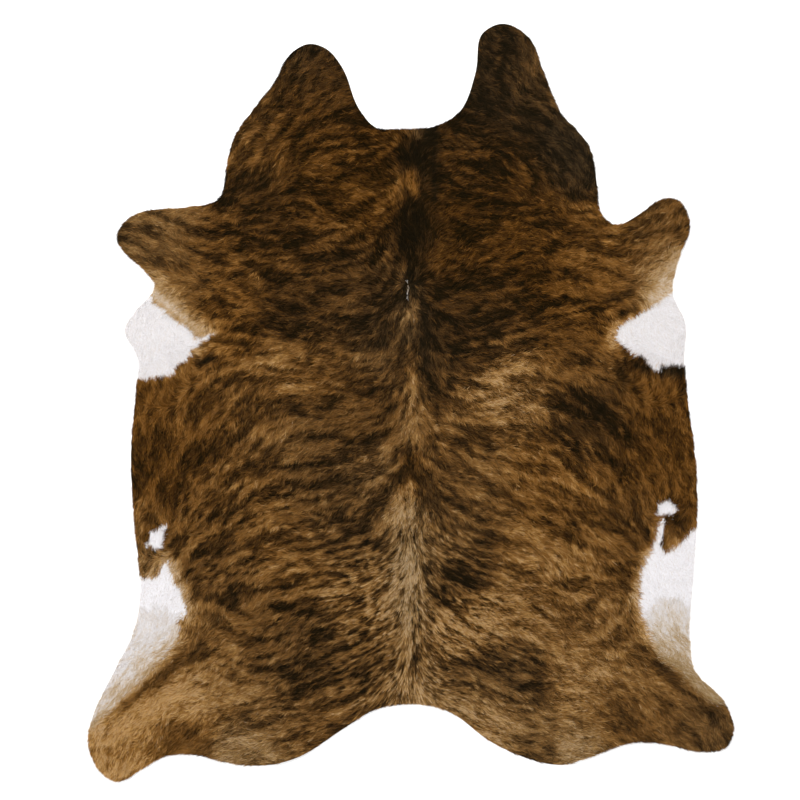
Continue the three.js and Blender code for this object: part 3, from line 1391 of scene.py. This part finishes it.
class HairSource(Enum):
    """Where a hair material reads its tone and warmth from."""

    LOCKS = "OFBake"
    SKIN = "coat"

    def sockets(self, graph: Graph) -> tuple[Socket, Socket]:
        """Reads the tone and warmth.

        Args:
            graph: The material's nodes.

        Returns:
            X and Y of the locks' own map, or of the skin's attribute.
        """
        if self is HairSource.LOCKS:
            look = graph.add("ShaderNodeUVMap", {}, uv_map=self.value).outputs["UV"]
        else:
            source = graph.add("ShaderNodeAttribute", {}, attribute_name=self.value)
            look = source.outputs["Vector"]
        split = graph.add("ShaderNodeSeparateXYZ", {0: look})
        return split.outputs["X"], split.outputs["Y"]


@dataclass(frozen=True)
class SuedeFinish:
    """The flesh side of the skin: pale brushed suede with clouds and a nap.

    Args:
        deep: Its darker colour.
        pale: Its lighter colour.
        stops: Where the two colours stand on the ramp.
        nap: The nap's noise: its scale for a metre, and its detail.
        clouds: The clouds' noise, in the same way.
        brushing: How strongly the nap shows in the colour and in the relief.
        relief: How high the nap stands.
    """

    deep: Colour = (158, 142, 122)
    pale: Colour = (196, 184, 166)
    stops: tuple[float, float] = (0.4, 0.85)
    nap: tuple[float, float] = (900, 3)
    clouds: tuple[float, float] = (7, 5)
    brushing: float = 0.35
    relief: float = 0.4 * MM

    def material(self, name: str) -> bpy.types.Material:
        """Builds the suede.

        Args:
            name: The material's name.

        Returns:
            A material whose two colours are blended by the clouds plus a share of the nap, with
            the nap as a bump.
        """
        material, graph, shader = new_material(name)
        place = graph.add("ShaderNodeTexCoord", {}).outputs["Object"]
        clouds, nap = (
            graph.add("ShaderNodeTexNoise", {"Scale": scale, "Detail": detail, "Vector": place})
            for scale, detail in (self.clouds, self.nap)
        )
        parts = {0: nap.outputs[0], 1: self.brushing, 2: clouds.outputs[0]}
        blend = graph.add("ShaderNodeMath", parts, operation="MULTIPLY_ADD")
        rise = {"Strength": self.brushing, "Distance": self.relief, "Height": nap.outputs[0]}
        finish = {
            "Base Color": graph.ramp(blend.outputs[0], self.stops, (self.deep, self.pale)),
            "Normal": graph.add("ShaderNodeBump", rise).outputs[0],
            "Roughness": 0.95,
            "Specular IOR Level": 0.2,
        }
        graph.feed(shader, finish)
        return material


# ---- The skin ----


def add_mesh(name: str, places: Array, faces: Array) -> bpy.types.Object:
    """Puts triangles into the scene.

    Args:
        name: The object's name.
        places: One row of X, Y, Z for each vertex.
        faces: One row of three vertex numbers for each triangle.

    Returns:
        The new object, at the origin.
    """
    mesh = bpy.data.meshes.new(name)
    mesh.vertices.add(len(places))
    mesh.vertices.foreach_set("co", places.astype(np.float32).ravel())
    mesh.loops.add(faces.size)
    mesh.loops.foreach_set("vertex_index", faces.astype(np.int32).ravel())
    mesh.polygons.add(len(faces))
    mesh.polygons.foreach_set("loop_start", np.arange(0, faces.size, 3, dtype=np.int32))
    mesh.update(calc_edges=True)
    piece = bpy.data.objects.new(name, mesh)
    bpy.context.scene.collection.objects.link(piece)
    return piece


def lay_map(piece: bpy.types.Object, name: str, corners: Array) -> None:
    """Gives a piece a UV map, one row of U and V for each face corner."""
    layer = piece.data.uv_layers.new(name=name)
    layer.uv.foreach_set("vector", corners.astype(np.float32).ravel())


def turn_of(a: Array, b: Array, c: Array) -> Array:
    """Twice the area of each triangle in the plan, negative where a, b, c turn clockwise."""
    return (b[:, 0] - a[:, 0]) * (c[:, 1] - a[:, 1]) - (b[:, 1] - a[:, 1]) * (c[:, 0] - a[:, 0])


@dataclass
class Skin:
    """The tanned skin: a closed sheet of even thickness that lies almost flat.

    Args:
        edge: The cut edge.
        plan: The raster of the coat's fields.
        depth: How far inside the edge each raster point lies.
        rng: The source of the skin's swells.
        thickness: The leather's thickness.
        spacing: The spacing of the points inside the edge.
        swell: How high the soft swells of the skin are.
        wide: How wide the swells are.
        narrow: How wide the waves of the edge are.
        waves: How high the edge's waves are, against the swell.
        ebb: How far inside the edge the waves have fallen to a third.
        shade: The undercoat's tone, as a share of the coat's: painted shade under the locks.
        pale: The undercoat's tone in the white patches.
        lift: How far the skin is lifted off the floor at each raster point.
    """

    edge: CutEdge
    plan: Plan
    depth: Array
    rng: np.random.Generator
    thickness: float = 2.4 * MM
    spacing: float = 15 * MM
    swell: float = 1.6 * MM
    wide: float = 90 * MM
    narrow: float = 42 * MM
    waves: float = 1.3
    ebb: float = 0.035
    shade: float = 0.85
    pale: float = 0.96
    lift: Array = field(init=False)

    def __post_init__(self) -> None:
        """Works out the lift.

        Wide soft noise is cut off at 0, so that the skin lies on the floor over about half of its
        area. Near the edge narrower waves are added, n^2 / (1 + |n|) of their noise n, which stay
        low over most of the edge.
        """
        wide = self.plan.grain(self.rng, self.wide)
        narrow = self.plan.grain(self.rng, self.narrow)
        at_edge = np.exp(-np.maximum(self.depth, 0) / self.ebb)
        waves = self.waves * at_edge * narrow**2 / (1 + np.abs(narrow))
        self.lift = (self.swell * (np.maximum(0.5 * wide, 0) + waves)).astype(np.float32)

    def _points(self) -> Array:
        """Lays out the sheet's points.

        Returns:
            The edge's points, and a grid of points inside it. Every other row is set off by half
            a step and the rows stand 0.866 of a step apart, so the triangles are even.
        """
        low, high = self.edge.ring.min(axis=0), self.edge.ring.max(axis=0)
        across = np.arange(low[0], high[0], self.spacing)
        up = np.arange(low[1], high[1], self.spacing * 0.866)
        x, y = np.meshgrid(across, up)
        x[1::2] += self.spacing / 2
        x, y = x.ravel(), y.ravel()
        inside = self.plan.read(self.depth, x, y) > 0.5 * self.spacing
        return np.concatenate([self.edge.ring, np.stack([x[inside], y[inside]], axis=1)])

    def _triangles(self, points: Array) -> Array:
        """Fills the edge with triangles.

        Args:
            points: The edge's points in order, and then those inside it.

        Returns:
            The triangles, facing up. One with all its corners on the edge lies outside it if
            those corners, in the edge's own order, turn clockwise.
        """
        count = len(self.edge.ring)
        sides = [(i, (i + 1) % count) for i in range(count)]
        result = delaunay_2d_cdt(points.tolist(), sides, [], 0, 1e-7, True)
        faces = np.sort(np.array(result[2]), axis=1)
        turn = turn_of(*(points[faces[:, k]] for k in range(3)))
        faces[turn < 0] = faces[turn < 0][:, ::-1]
        return faces[~((faces < count).all(axis=1) & (turn < 0))]

    def build(self) -> bpy.types.Object:
        """Makes the sheet: hair side, flesh side and the cut edge between them.

        Returns:
            The skin, with its map and without materials.
        """
        points = self._points()
        top = self._triangles(points)
        lift = self.plan.read(self.lift, *points.T)
        low, high = (np.column_stack([points, lift + up]) for up in (0, self.thickness))
        count, total = len(self.edge.ring), len(points)
        here, there = np.arange(count), (np.arange(count) + 1) % count
        halves = ((here, there, there + total), (here, there + total, here + total))
        wall = np.concatenate([np.stack(half, axis=1) for half in halves])
        faces = np.concatenate([top + total, top[:, ::-1], wall])
        piece = add_mesh("hide_skin", np.concatenate([low, high]), faces)
        self._lay_map(piece, points, top, wall)
        number = np.arange(len(faces))
        suede = (number >= len(top)).astype(np.int32)
        piece.data.polygons.foreach_set("material_index", suede)
        piece.data.polygons.foreach_set("use_smooth", number < 2 * len(top))
        return piece

    def _lay_map(self, piece: bpy.types.Object, points: Array, top: Array, wall: Array) -> None:
        """Lays the piece's map: hair side on the left, flesh side on the right, edge round it.

        Args:
            piece: The skin.
            points: The points of one side.
            top: The triangles of one side.
            wall: The triangles of the cut edge.
        """
        width, gap, collar, half = 0.46, 0.02, 0.004, np.array([0.5, 0.0])
        low, high = points.min(axis=0), points.max(axis=0)
        scale = width / (high[0] - low[0])
        flat = (points - low) * scale + gap
        along = np.roll(self.edge.ring, -1, axis=0) - np.roll(self.edge.ring, 1, axis=0)
        outward = np.stack([along[:, 1], -along[:, 0]], axis=1)
        outward /= np.linalg.norm(outward, axis=1)[:, None]
        around = flat[: len(outward)] + collar * outward
        rim = np.concatenate([flat + half, around + half])
        corners = np.concatenate([flat[top], flat[top[:, ::-1]] + half, rim[wall]])
        lay_map(piece, "OFBake", corners.reshape(-1, 2))

    def dress(self, piece: bpy.types.Object, brindle: Brindle, hair: HairFinish) -> None:
        """Gives the hair side an undercoat, and the flesh side and the cut edge suede.

        Args:
            piece: The skin.
            brindle: The colour of the coat. The undercoat is a little darker, as painted shade under
            the locks, and pale in the white patches.
            hair: The finish of the hair.
        """
        places = np.empty(len(piece.data.vertices) * 3, np.float32)
        piece.data.vertices.foreach_get("co", places)
        x, y, _ = places.reshape(-1, 3).T
        # Darkened by the shade share: painted shade under the locks.
        tone = self.plan.read(brindle.tone, x, y) * self.shade
        white = ease(self.plan.read(brindle.white, x, y), 0, 1.5)
        tone = tone + white * (self.pale - tone)
        warmth = self.plan.read(brindle.warmth, x, y)
        values = np.stack([tone, warmth, np.zeros_like(tone)], axis=1)
        layer = piece.data.attributes.new(HairSource.SKIN.value, "FLOAT_VECTOR", "POINT")
        layer.data.foreach_set("vector", values.astype(np.float32).ravel())
        piece.data.materials.append(hair.material("undercoat", HairSource.SKIN))
        piece.data.materials.append(SuedeFinish().material("flesh_side"))


# ---- The coat ----


class Stretch(Enum):
    """The stretches of the back that the coat's locks are gathered by."""

    RUMP = "coat_rump"
    LOIN = "coat_loin"
    RIBS = "coat_ribs"
    NECK = "coat_neck"


def varied(noise: Array, share: float, least: float, most: float) -> Array:
    """Factors round 1: 1 plus a share of the noise, kept between the least and the most."""
    return np.clip(1 + share * noise, least, most)


@dataclass
class Coat:
    """The hair, as tapered locks laid on the skin.

    A lock is one triangle: two corners at its root and one at its tip. The root is sunk a little
    in the skin, and the tip lies further on along the combing, a little above the skin under it,
    so that each lock covers the roots of those in front of it.

    Args:
        skin: The skin that it grows on.
        combing: The directions of the hair.
        brindle: The colour of the coat.
        rng: The source of the locks' differences.
        locks: How many locks each stretch has at most.
        length: The hair's length on the body.
        width: The width of a lock at its root.
        rise: The slope of a lock, as height over length.
        sunk: How deep the roots sit.
        inset: How far inside the edge the outermost roots stand.
        clear: How far a tip clears the skin under it, without its rise.
        overhang: How far the hair reaches past the cut edge.
        stray: How far single locks stray from the combing, in degrees.
        tuft_stray: How far whole tufts do.
        roll: How far a lock rolls to its side, in degrees.
        tuft: The size of the tufts that locks gather in.
        gather: How far a tip is drawn to the middle of its tuft, at most.
        calm: How much less the locks stray and gather at the low back.
        mottle_and_stand_shade: How far a lock's tone differs by itself, by how high it stands and by
        its tuft. The part by how high it stands is painted shade: a lock lying lower is darker.
        hue: How far its warmth differs.
        uneven: How far the fades of the white, and the white itself, differ from lock to lock.
        root: How much darker than the lock its root is, as painted shade of the hair over it, and
        how much less so in white hair.
        tip: How much paler than the lock its tip is, as a painted sheen.
        fan: How far the lock's map opens to each side at its root.
        white: The tones between which hair goes over to the short, even white kind.
        white_length: The length of the white hair, as a share of the rest.
    """

    skin: Skin
    combing: Combing
    brindle: Brindle
    rng: np.random.Generator
    locks: int = 197_000
    length: float = 14 * MM
    width: float = 2.1 * MM
    rise: float = 0.19
    sunk: float = 0.2 * MM
    inset: float = 0.2 * MM
    clear: float = 0.3 * MM
    overhang: float = 6 * MM
    stray: float = 14
    tuft_stray: float = 20
    roll: float = 24
    tuft: float = 7 * MM
    gather: float = 0.35
    calm: float = 0.65
    mottle_and_stand_shade: tuple[float, float, float] = (0.12, 0.05, 0.04)
    hue: float = 0.15
    uneven: tuple[float, float] = (0.3, 0.004)
    root: tuple[float, float] = (0.07, 0.06)
    tip: float = 0.03
    fan: float = 0.008
    white: tuple[float, float] = (0.86, 0.95)
    white_length: float = 0.45

    def _roots(self) -> Pair:
        """Scatters the roots.

        Returns:
            X and Y of each root: one at random in each cell of a fine grid, inside the edge, and
            no more than there are locks.
        """
        total = self.locks * len(Stretch)
        pitch = np.sqrt(self.skin.edge.area() / total)
        low, high = self.skin.edge.ring.min(axis=0), self.skin.edge.ring.max(axis=0)
        x, y = np.meshgrid(np.arange(low[0], high[0], pitch), np.arange(low[1], high[1], pitch))
        x = (x + pitch * self.rng.random(x.shape)).ravel()
        y = (y + pitch * self.rng.random(y.shape)).ravel()
        inside = self.skin.plan.read(self.skin.depth, x, y) > self.inset
        x, y = x[inside], y[inside]
        kept = self.rng.permutation(len(x))[:total]
        return x[kept], y[kept]

    def _tufts(self, x: Array, y: Array) -> tuple[Array, Array, Array]:
        """Finds the tuft of each lock.

        The tufts' middles are one at random in each cell of a grid of the tuft's size, which
        reaches a few cells past the rug. A lock belongs to the nearest middle of its own cell and
        the eight round it.

        Args:
            x: X of each root.
            y: Y of each root.

        Returns:
            X and Y of the tuft's middle, and a number from 0 to 1 for each tuft.
        """
        low = self.skin.edge.ring.min(axis=0) - 2 * self.tuft
        cells = (np.ptp(self.skin.edge.ring, axis=0) / self.tuft).astype(int) + 6
        middles = self.rng.random((*cells, 3))
        i, j = (((at - least) / self.tuft).astype(int) for at, least in zip((x, y), low))
        best = np.full(x.shape, np.inf)
        found = [np.zeros_like(x) for _ in range(3)]
        for di, dj in itertools.product((-1, 0, 1), repeat=2):
            cell = middles[i + di, j + dj]
            cx = low[0] + (i + di + cell[:, 0]) * self.tuft
            cy = low[1] + (j + dj + cell[:, 1]) * self.tuft
            away = (x - cx) ** 2 + (y - cy) ** 2
            nearer = away < best
            best = np.where(nearer, away, best)
            found = [np.where(nearer, new, old) for new, old in zip((cx, cy, cell[:, 2]), found)]
        return tuple(found)

    def _tones(self, x: Array, y: Array, tuft: Array, stand: Array) -> Pair:
        """The tone and warmth of each lock.

        Outside the white patches a lock has the brindle's tone, with a share from its tuft and a
        share of its own. Hair that stands higher is paler and hair that lies lower is darker, as
        painted shade of the hair above it. Inside the patches it is white, or darker where the patch
        fades. Over a few millimetres at the border the two mix, and further where it fades.

        Args:
            x: X of each root.
            y: Y of each root.
            tuft: A number from 0 to 1 for its tuft.
            stand: How high it stands, round 0.

        Returns:
            The tones and the warmths.
        """
        plan, brindle, rng = self.skin.plan, self.brindle, self.rng
        tone = plan.read(brindle.tone, x, y)
        warmth = plan.read(brindle.warmth, x, y)
        own = rng.standard_normal(len(x))
        grain = plan.read(brindle.grain, x, y)
        by_lock, by_stand_shade, by_tuft = self.mottle_and_stand_shade
        # The share by how high a lock stands is painted shade: lower locks darker, higher ones
        # paler.
        mottle_and_stand_shade = by_lock * own + by_stand_shade * stand + by_tuft * (tuft * 2 - 1)
        tone = stirred(tone, grain * mottle_and_stand_shade)
        warmth = warmth + self.hue * rng.standard_normal(len(x))
        fall = plan.read(brindle.fall, x, y)
        mix = 1 + 12 * np.clip(fall, 0, 0.07)
        share = ease(plan.read(brindle.white, x, y), -mix, mix)
        pale = plan.read(brindle.pale_tone, x, y) - fall * (1 + self.uneven[0] * own)
        pale = np.clip(pale + self.uneven[1] * own, 0.7, 1)
        white = rng.random(len(x)) < share
        warmth = np.where(white, plan.read(brindle.pale_warmth, x, y), warmth)
        tone = np.where(white, pale, np.clip(tone, 0.01, 0.96))
        return tone, np.clip(warmth, 0.02, 0.98)

    def build(self) -> list[bpy.types.Object]:
        """Makes the coat, one piece for each stretch.

        Returns:
            The pieces, with their maps and without materials.
        """
        x, y = self._roots()
        corners, maps = self._locks(x, y)
        order = np.argsort(y, kind="stable")
        pieces = []
        for stretch, part in zip(Stretch, np.array_split(order, len(Stretch))):
            faces = np.arange(3 * len(part)).reshape(-1, 3)
            piece = add_mesh(stretch.value, corners[part].reshape(-1, 3), faces)
            lay_map(piece, HairSource.LOCKS.value, maps[part].reshape(-1, 2))
            pieces.append(piece)
        return pieces

    def _locks(self, x: Array, y: Array) -> Pair:
        """Works out the locks' triangles.

        Args:
            x: X of each root.
            y: Y of each root.

        Returns:
            X, Y, Z of each lock's three corners, and U, V of the same.
        """
        rng, plan, count = self.rng, self.skin.plan, len(x)
        middle_x, middle_y, tuft = self._tufts(x, y)
        dx, dy = (plan.read(part, x, y) for part in self.combing.hair)
        stand = rng.standard_normal(count)
        turn = np.radians(self.stray) * rng.standard_normal(count)
        turn = turn + np.radians(self.tuft_stray) * (2 * tuft - 1)
        calm = 1 - self.calm * low_back(x, y)
        turn = turn * calm
        dx, dy = dx * np.cos(turn) - dy * np.sin(turn), dx * np.sin(turn) + dy * np.cos(turn)
        tone, warmth = self._tones(x, y, tuft, stand)
        length = self.length * varied(rng.standard_normal(count), 0.25, 0.5, 1.7)
        length = length * (1 - (1 - self.white_length) * ease(tone, *self.white))
        length = self._trimmed(x, y, dx, dy, length)
        gather = self.gather * rng.random(count) * calm
        tip_x = x + length * dx + gather * (middle_x - x)
        tip_y = y + length * dy + gather * (middle_y - y)
        root_z = plan.read(self.skin.lift, x, y) + self.skin.thickness - self.sunk
        slope = self.rise * varied(stand, 0.5, 0.25, 2.4)
        under_tip = plan.read(self.skin.lift, tip_x, tip_y) + self.skin.thickness
        tip_z = under_tip + self.clear + slope * length
        half = self.width * varied(rng.standard_normal(count), 0.25, 0.5, 1.6) / 2
        roll = np.radians(self.roll) * rng.standard_normal(count)
        flat, tilt = half * np.cos(roll), half * np.sin(roll)
        right = np.stack([x + dy * flat, y - dx * flat, root_z + np.abs(tilt) + tilt], axis=1)
        left = np.stack([x - dy * flat, y + dx * flat, root_z + np.abs(tilt) - tilt], axis=1)
        tip = np.stack([tip_x, tip_y, tip_z], axis=1)
        corners = np.stack([right, tip, left], axis=1)
        down = turn_of(right, tip, left) < 0
        corners[down] = corners[down][:, ::-1]
        return corners, self._maps(tone, warmth)

    def _trimmed(self, x: Array, y: Array, dx: Array, dy: Array, length: Array) -> Array:
        """Shortens the locks whose tips would reach too far past the cut edge.

        Args:
            x: X of each root.
            y: Y of each root.
            dx: X of its direction.
            dy: Y of its direction.
            length: Its length.

        Returns:
            The lengths. Each tip may reach from a third of the overhang to all of it, and a root
            counts as 0.1 mm inside the edge at least.
        """
        plan, depth = self.skin.plan, self.skin.depth
        beyond = -plan.read(depth, x + dx * length, y + dy * length)
        allowed = self.overhang * (0.35 + 0.65 * self.rng.random(len(x)))
        inside = np.maximum(plan.read(depth, x, y), 0.1 * MM)
        share = (inside + allowed) / (inside + np.maximum(beyond, allowed))
        return length * np.where(beyond > allowed, share, 1)

    def _maps(self, tone: Array, warmth: Array) -> Array:
        """Lays out the map of each lock.

        Args:
            tone: The tone of each lock.
            warmth: Its warmth.

        Returns:
            U and V of its three corners. U runs from the root's darker tone, a painted shade, to
            the tip's paler one, a painted sheen. V is its warmth, a little less and more at the
            root, so that the map has an area.
        """
        # The root's darker tone is painted shade, and the tip's paler one is painted sheen.
        darker = self.root[0] - self.root[1] * ease(tone, *self.white)
        root, tip = np.clip(tone - darker, 0.005, 0.99), np.clip(tone + self.tip, 0.02, 0.998)
        low, high = warmth - self.fan, warmth + self.fan
        return np.stack([root, low, tip, warmth, root, high], axis=1).reshape(-1, 3, 2)


# ---- The studio ----


@dataclass(frozen=True)
class Lamp:
    """A square soft light that faces the middle of the rug.

    Args:
        name: Its name.
        place: Where it hangs.
        side: The length of its side.
        power: Its power in watts.
    """

    name: str
    place: tuple[float, float, float]
    side: float
    power: float


@dataclass(frozen=True)
class Studio:
    """A white floor, soft lights and a camera straight above the rug.

    Args:
        aim: The point of the floor under the camera.
        span: The width of floor that the picture takes in.
        lens: The focal length, in millimetres.
        sensor: The sensor's width, in millimetres.
        clip_end: How far the camera sees.
        ambient: The strength of the light from all round.
        reach: How far the floor reaches from its middle, to each side.
        grey: The floor's colour, the same in red, green and blue.
        lifted: From how near to how far the floor's own light grows, out from its middle.
        lift: The strength of that light there.
        lamps: The lamps.
    """

    aim: tuple[float, float] = (-0.031, 0.007)
    span: float = 2.278
    lens: float = 100.0
    sensor: float = 36.0
    clip_end: float = 200
    ambient: float = 0.355
    reach: float = 40.0
    grey: float = 0.85
    lifted: tuple[float, float] = (1.6, 3.2)
    lift: tuple[float, float] = (0.28, 1.0)
    lamps: tuple[Lamp, ...] = (
        Lamp("lamp_head", (-0.8, 4.4, 4.2), 2.2, 280),
        Lamp("lamp_left", (-4.6, -0.6, 3.8), 2.2, 170),
        Lamp("lamp_right", (4.4, -1.6, 3.8), 2.2, 135),
    )

    def build(self) -> None:
        """Sets up the floor, the world, the lamps and the camera."""
        self._floor()
        self._world()
        for lamp in self.lamps:
            self._lamp(lamp)
        self._camera()
        bpy.context.scene.view_settings.view_transform = "Standard"

    def _floor(self) -> None:
        """Lays a wide white floor.

        Seen directly it is lifted a little, which keeps the rug's shadow. Away from the rug, where
        the lamps fall off, it is lifted more and more, to white.
        """
        corners = np.array([[-1, -1, 0], [1, -1, 0], [1, 1, 0], [-1, 1, 0]]) * self.reach
        floor = add_mesh("floor", corners, np.array([[0, 1, 2], [0, 2, 3]]))
        material, graph, shader = new_material("floor_white")
        finish = {
            "Base Color": (self.grey, self.grey, self.grey, 1),
            "Roughness": 0.9,
            "Specular IOR Level": 0.0,
        }
        graph.feed(shader, finish)
        place = graph.add("ShaderNodeTexCoord", {}).outputs["Object"]
        away = graph.add("ShaderNodeVectorMath", {0: place}, operation="LENGTH").outputs["Value"]
        ends = zip(("From Min", "From Max", "To Min", "To Max"), self.lifted + self.lift)
        growth = {"Value": away, **dict(ends)}
        share = graph.add("ShaderNodeMapRange", growth, interpolation_type="SMOOTHSTEP")
        parts = {0: share.outputs["Result"], 1: seen(graph)}
        strength = graph.add("ShaderNodeMath", parts, operation="MULTIPLY")
        lift = graph.add("ShaderNodeEmission", {"Strength": strength.outputs[0]})
        total = graph.add("ShaderNodeAddShader", {0: shader.outputs[0], 1: lift.outputs[0]})
        graph.feed(graph.nodes["Material Output"], {"Surface": total.outputs[0]})
        floor.data.materials.append(material)

    def _world(self) -> None:
        """Lights the rug evenly from all round, and shows white behind it."""
        world = bpy.data.worlds.new("studio")
        graph = Graph(world)
        bpy.context.scene.world = world
        parts = {0: seen(graph), 1: self.ambient}
        strength = graph.add("ShaderNodeMath", parts, operation="MAXIMUM").outputs[0]
        graph.feed(graph.nodes["Background"], {"Color": (1, 1, 1, 1), "Strength": strength})

    @staticmethod
    def _lamp(lamp: Lamp) -> None:
        """Adds one soft light, turned towards the middle of the rug.

        Args:
            lamp: Its place, size and power.
        """
        light = bpy.data.lights.new(lamp.name, "AREA")
        light.size = lamp.side
        light.energy = lamp.power
        holder = bpy.data.objects.new(lamp.name, light)
        holder.location = lamp.place
        towards = -holder.location
        holder.rotation_euler = towards.to_track_quat("-Z", "Y").to_euler()
        bpy.context.scene.collection.objects.link(holder)

    def _camera(self) -> None:
        """Hangs the camera straight above, at the height where the lens takes in the span."""
        lens = bpy.data.cameras.new("camera")
        lens.lens = self.lens
        lens.sensor_width = self.sensor
        lens.clip_end = self.clip_end
        camera = bpy.data.objects.new("camera", lens)
        camera.location = (*self.aim, self.span * self.lens / self.sensor)
        bpy.context.scene.collection.objects.link(camera)
        bpy.context.scene.camera = camera


def seen(graph: Graph) -> Socket:
    """Tells how a surface is seen.

    Args:
        graph: The nodes of its material, or of the world.

    Returns:
        1 for rays from the camera, by a mirror or through glass, and 0 for others.
    """
    path = graph.add("ShaderNodeLightPath", {})
    total = path.outputs["Is Camera Ray"]
    for name in ("Is Glossy Ray", "Is Transmission Ray"):
        both = {0: total, 1: path.outputs[name]}
        total = graph.add("ShaderNodeMath", both, operation="MAXIMUM").outputs[0]
    return total


# ---- Putting it together ----


def main() -> None:
    """Builds the rug and its studio, and reports each piece."""
    logging.basicConfig(level=logging.INFO, format="%(name)s: %(message)s")
    rng = np.random.default_rng(SEED)
    low, high = (np.array(corner[:2]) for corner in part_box("hide"))
    plan, coarse = (Plan(tuple(low - MARGIN), tuple(high + MARGIN), cell) for cell in (FINE, COARSE))

    edge = CutEdge(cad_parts["hide"])
    depth = coarse.read(edge.depth(coarse), *plan.points).astype(np.float32)
    markings = [Marking(patch, plan) for patch in PATCHES]
    combing = Combing(plan, markings, rng)
    brindle = Brindle(plan, markings, combing, rng)
    LOG.info("the edge has %d points and holds %.2f square metres", len(edge.ring), edge.area())

    skin = Skin(edge, plan, depth, rng)
    sheet = skin.build()
    hair = HairFinish()
    skin.dress(sheet, brindle, hair)
    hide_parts("hide")
    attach(sheet, "root")
    LOG.info("%s: %d faces", sheet.name, len(sheet.data.polygons))

    locks = Coat(skin, combing, brindle, rng).build()
    coat_material = hair.material("brindle_hair", HairSource.LOCKS)
    for piece in locks:
        piece.data.materials.append(coat_material)
        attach(piece, "root")
        LOG.info("%s: %d locks", piece.name, len(piece.data.polygons))

    Studio().build()


if __name__ == "__main__":
    main()
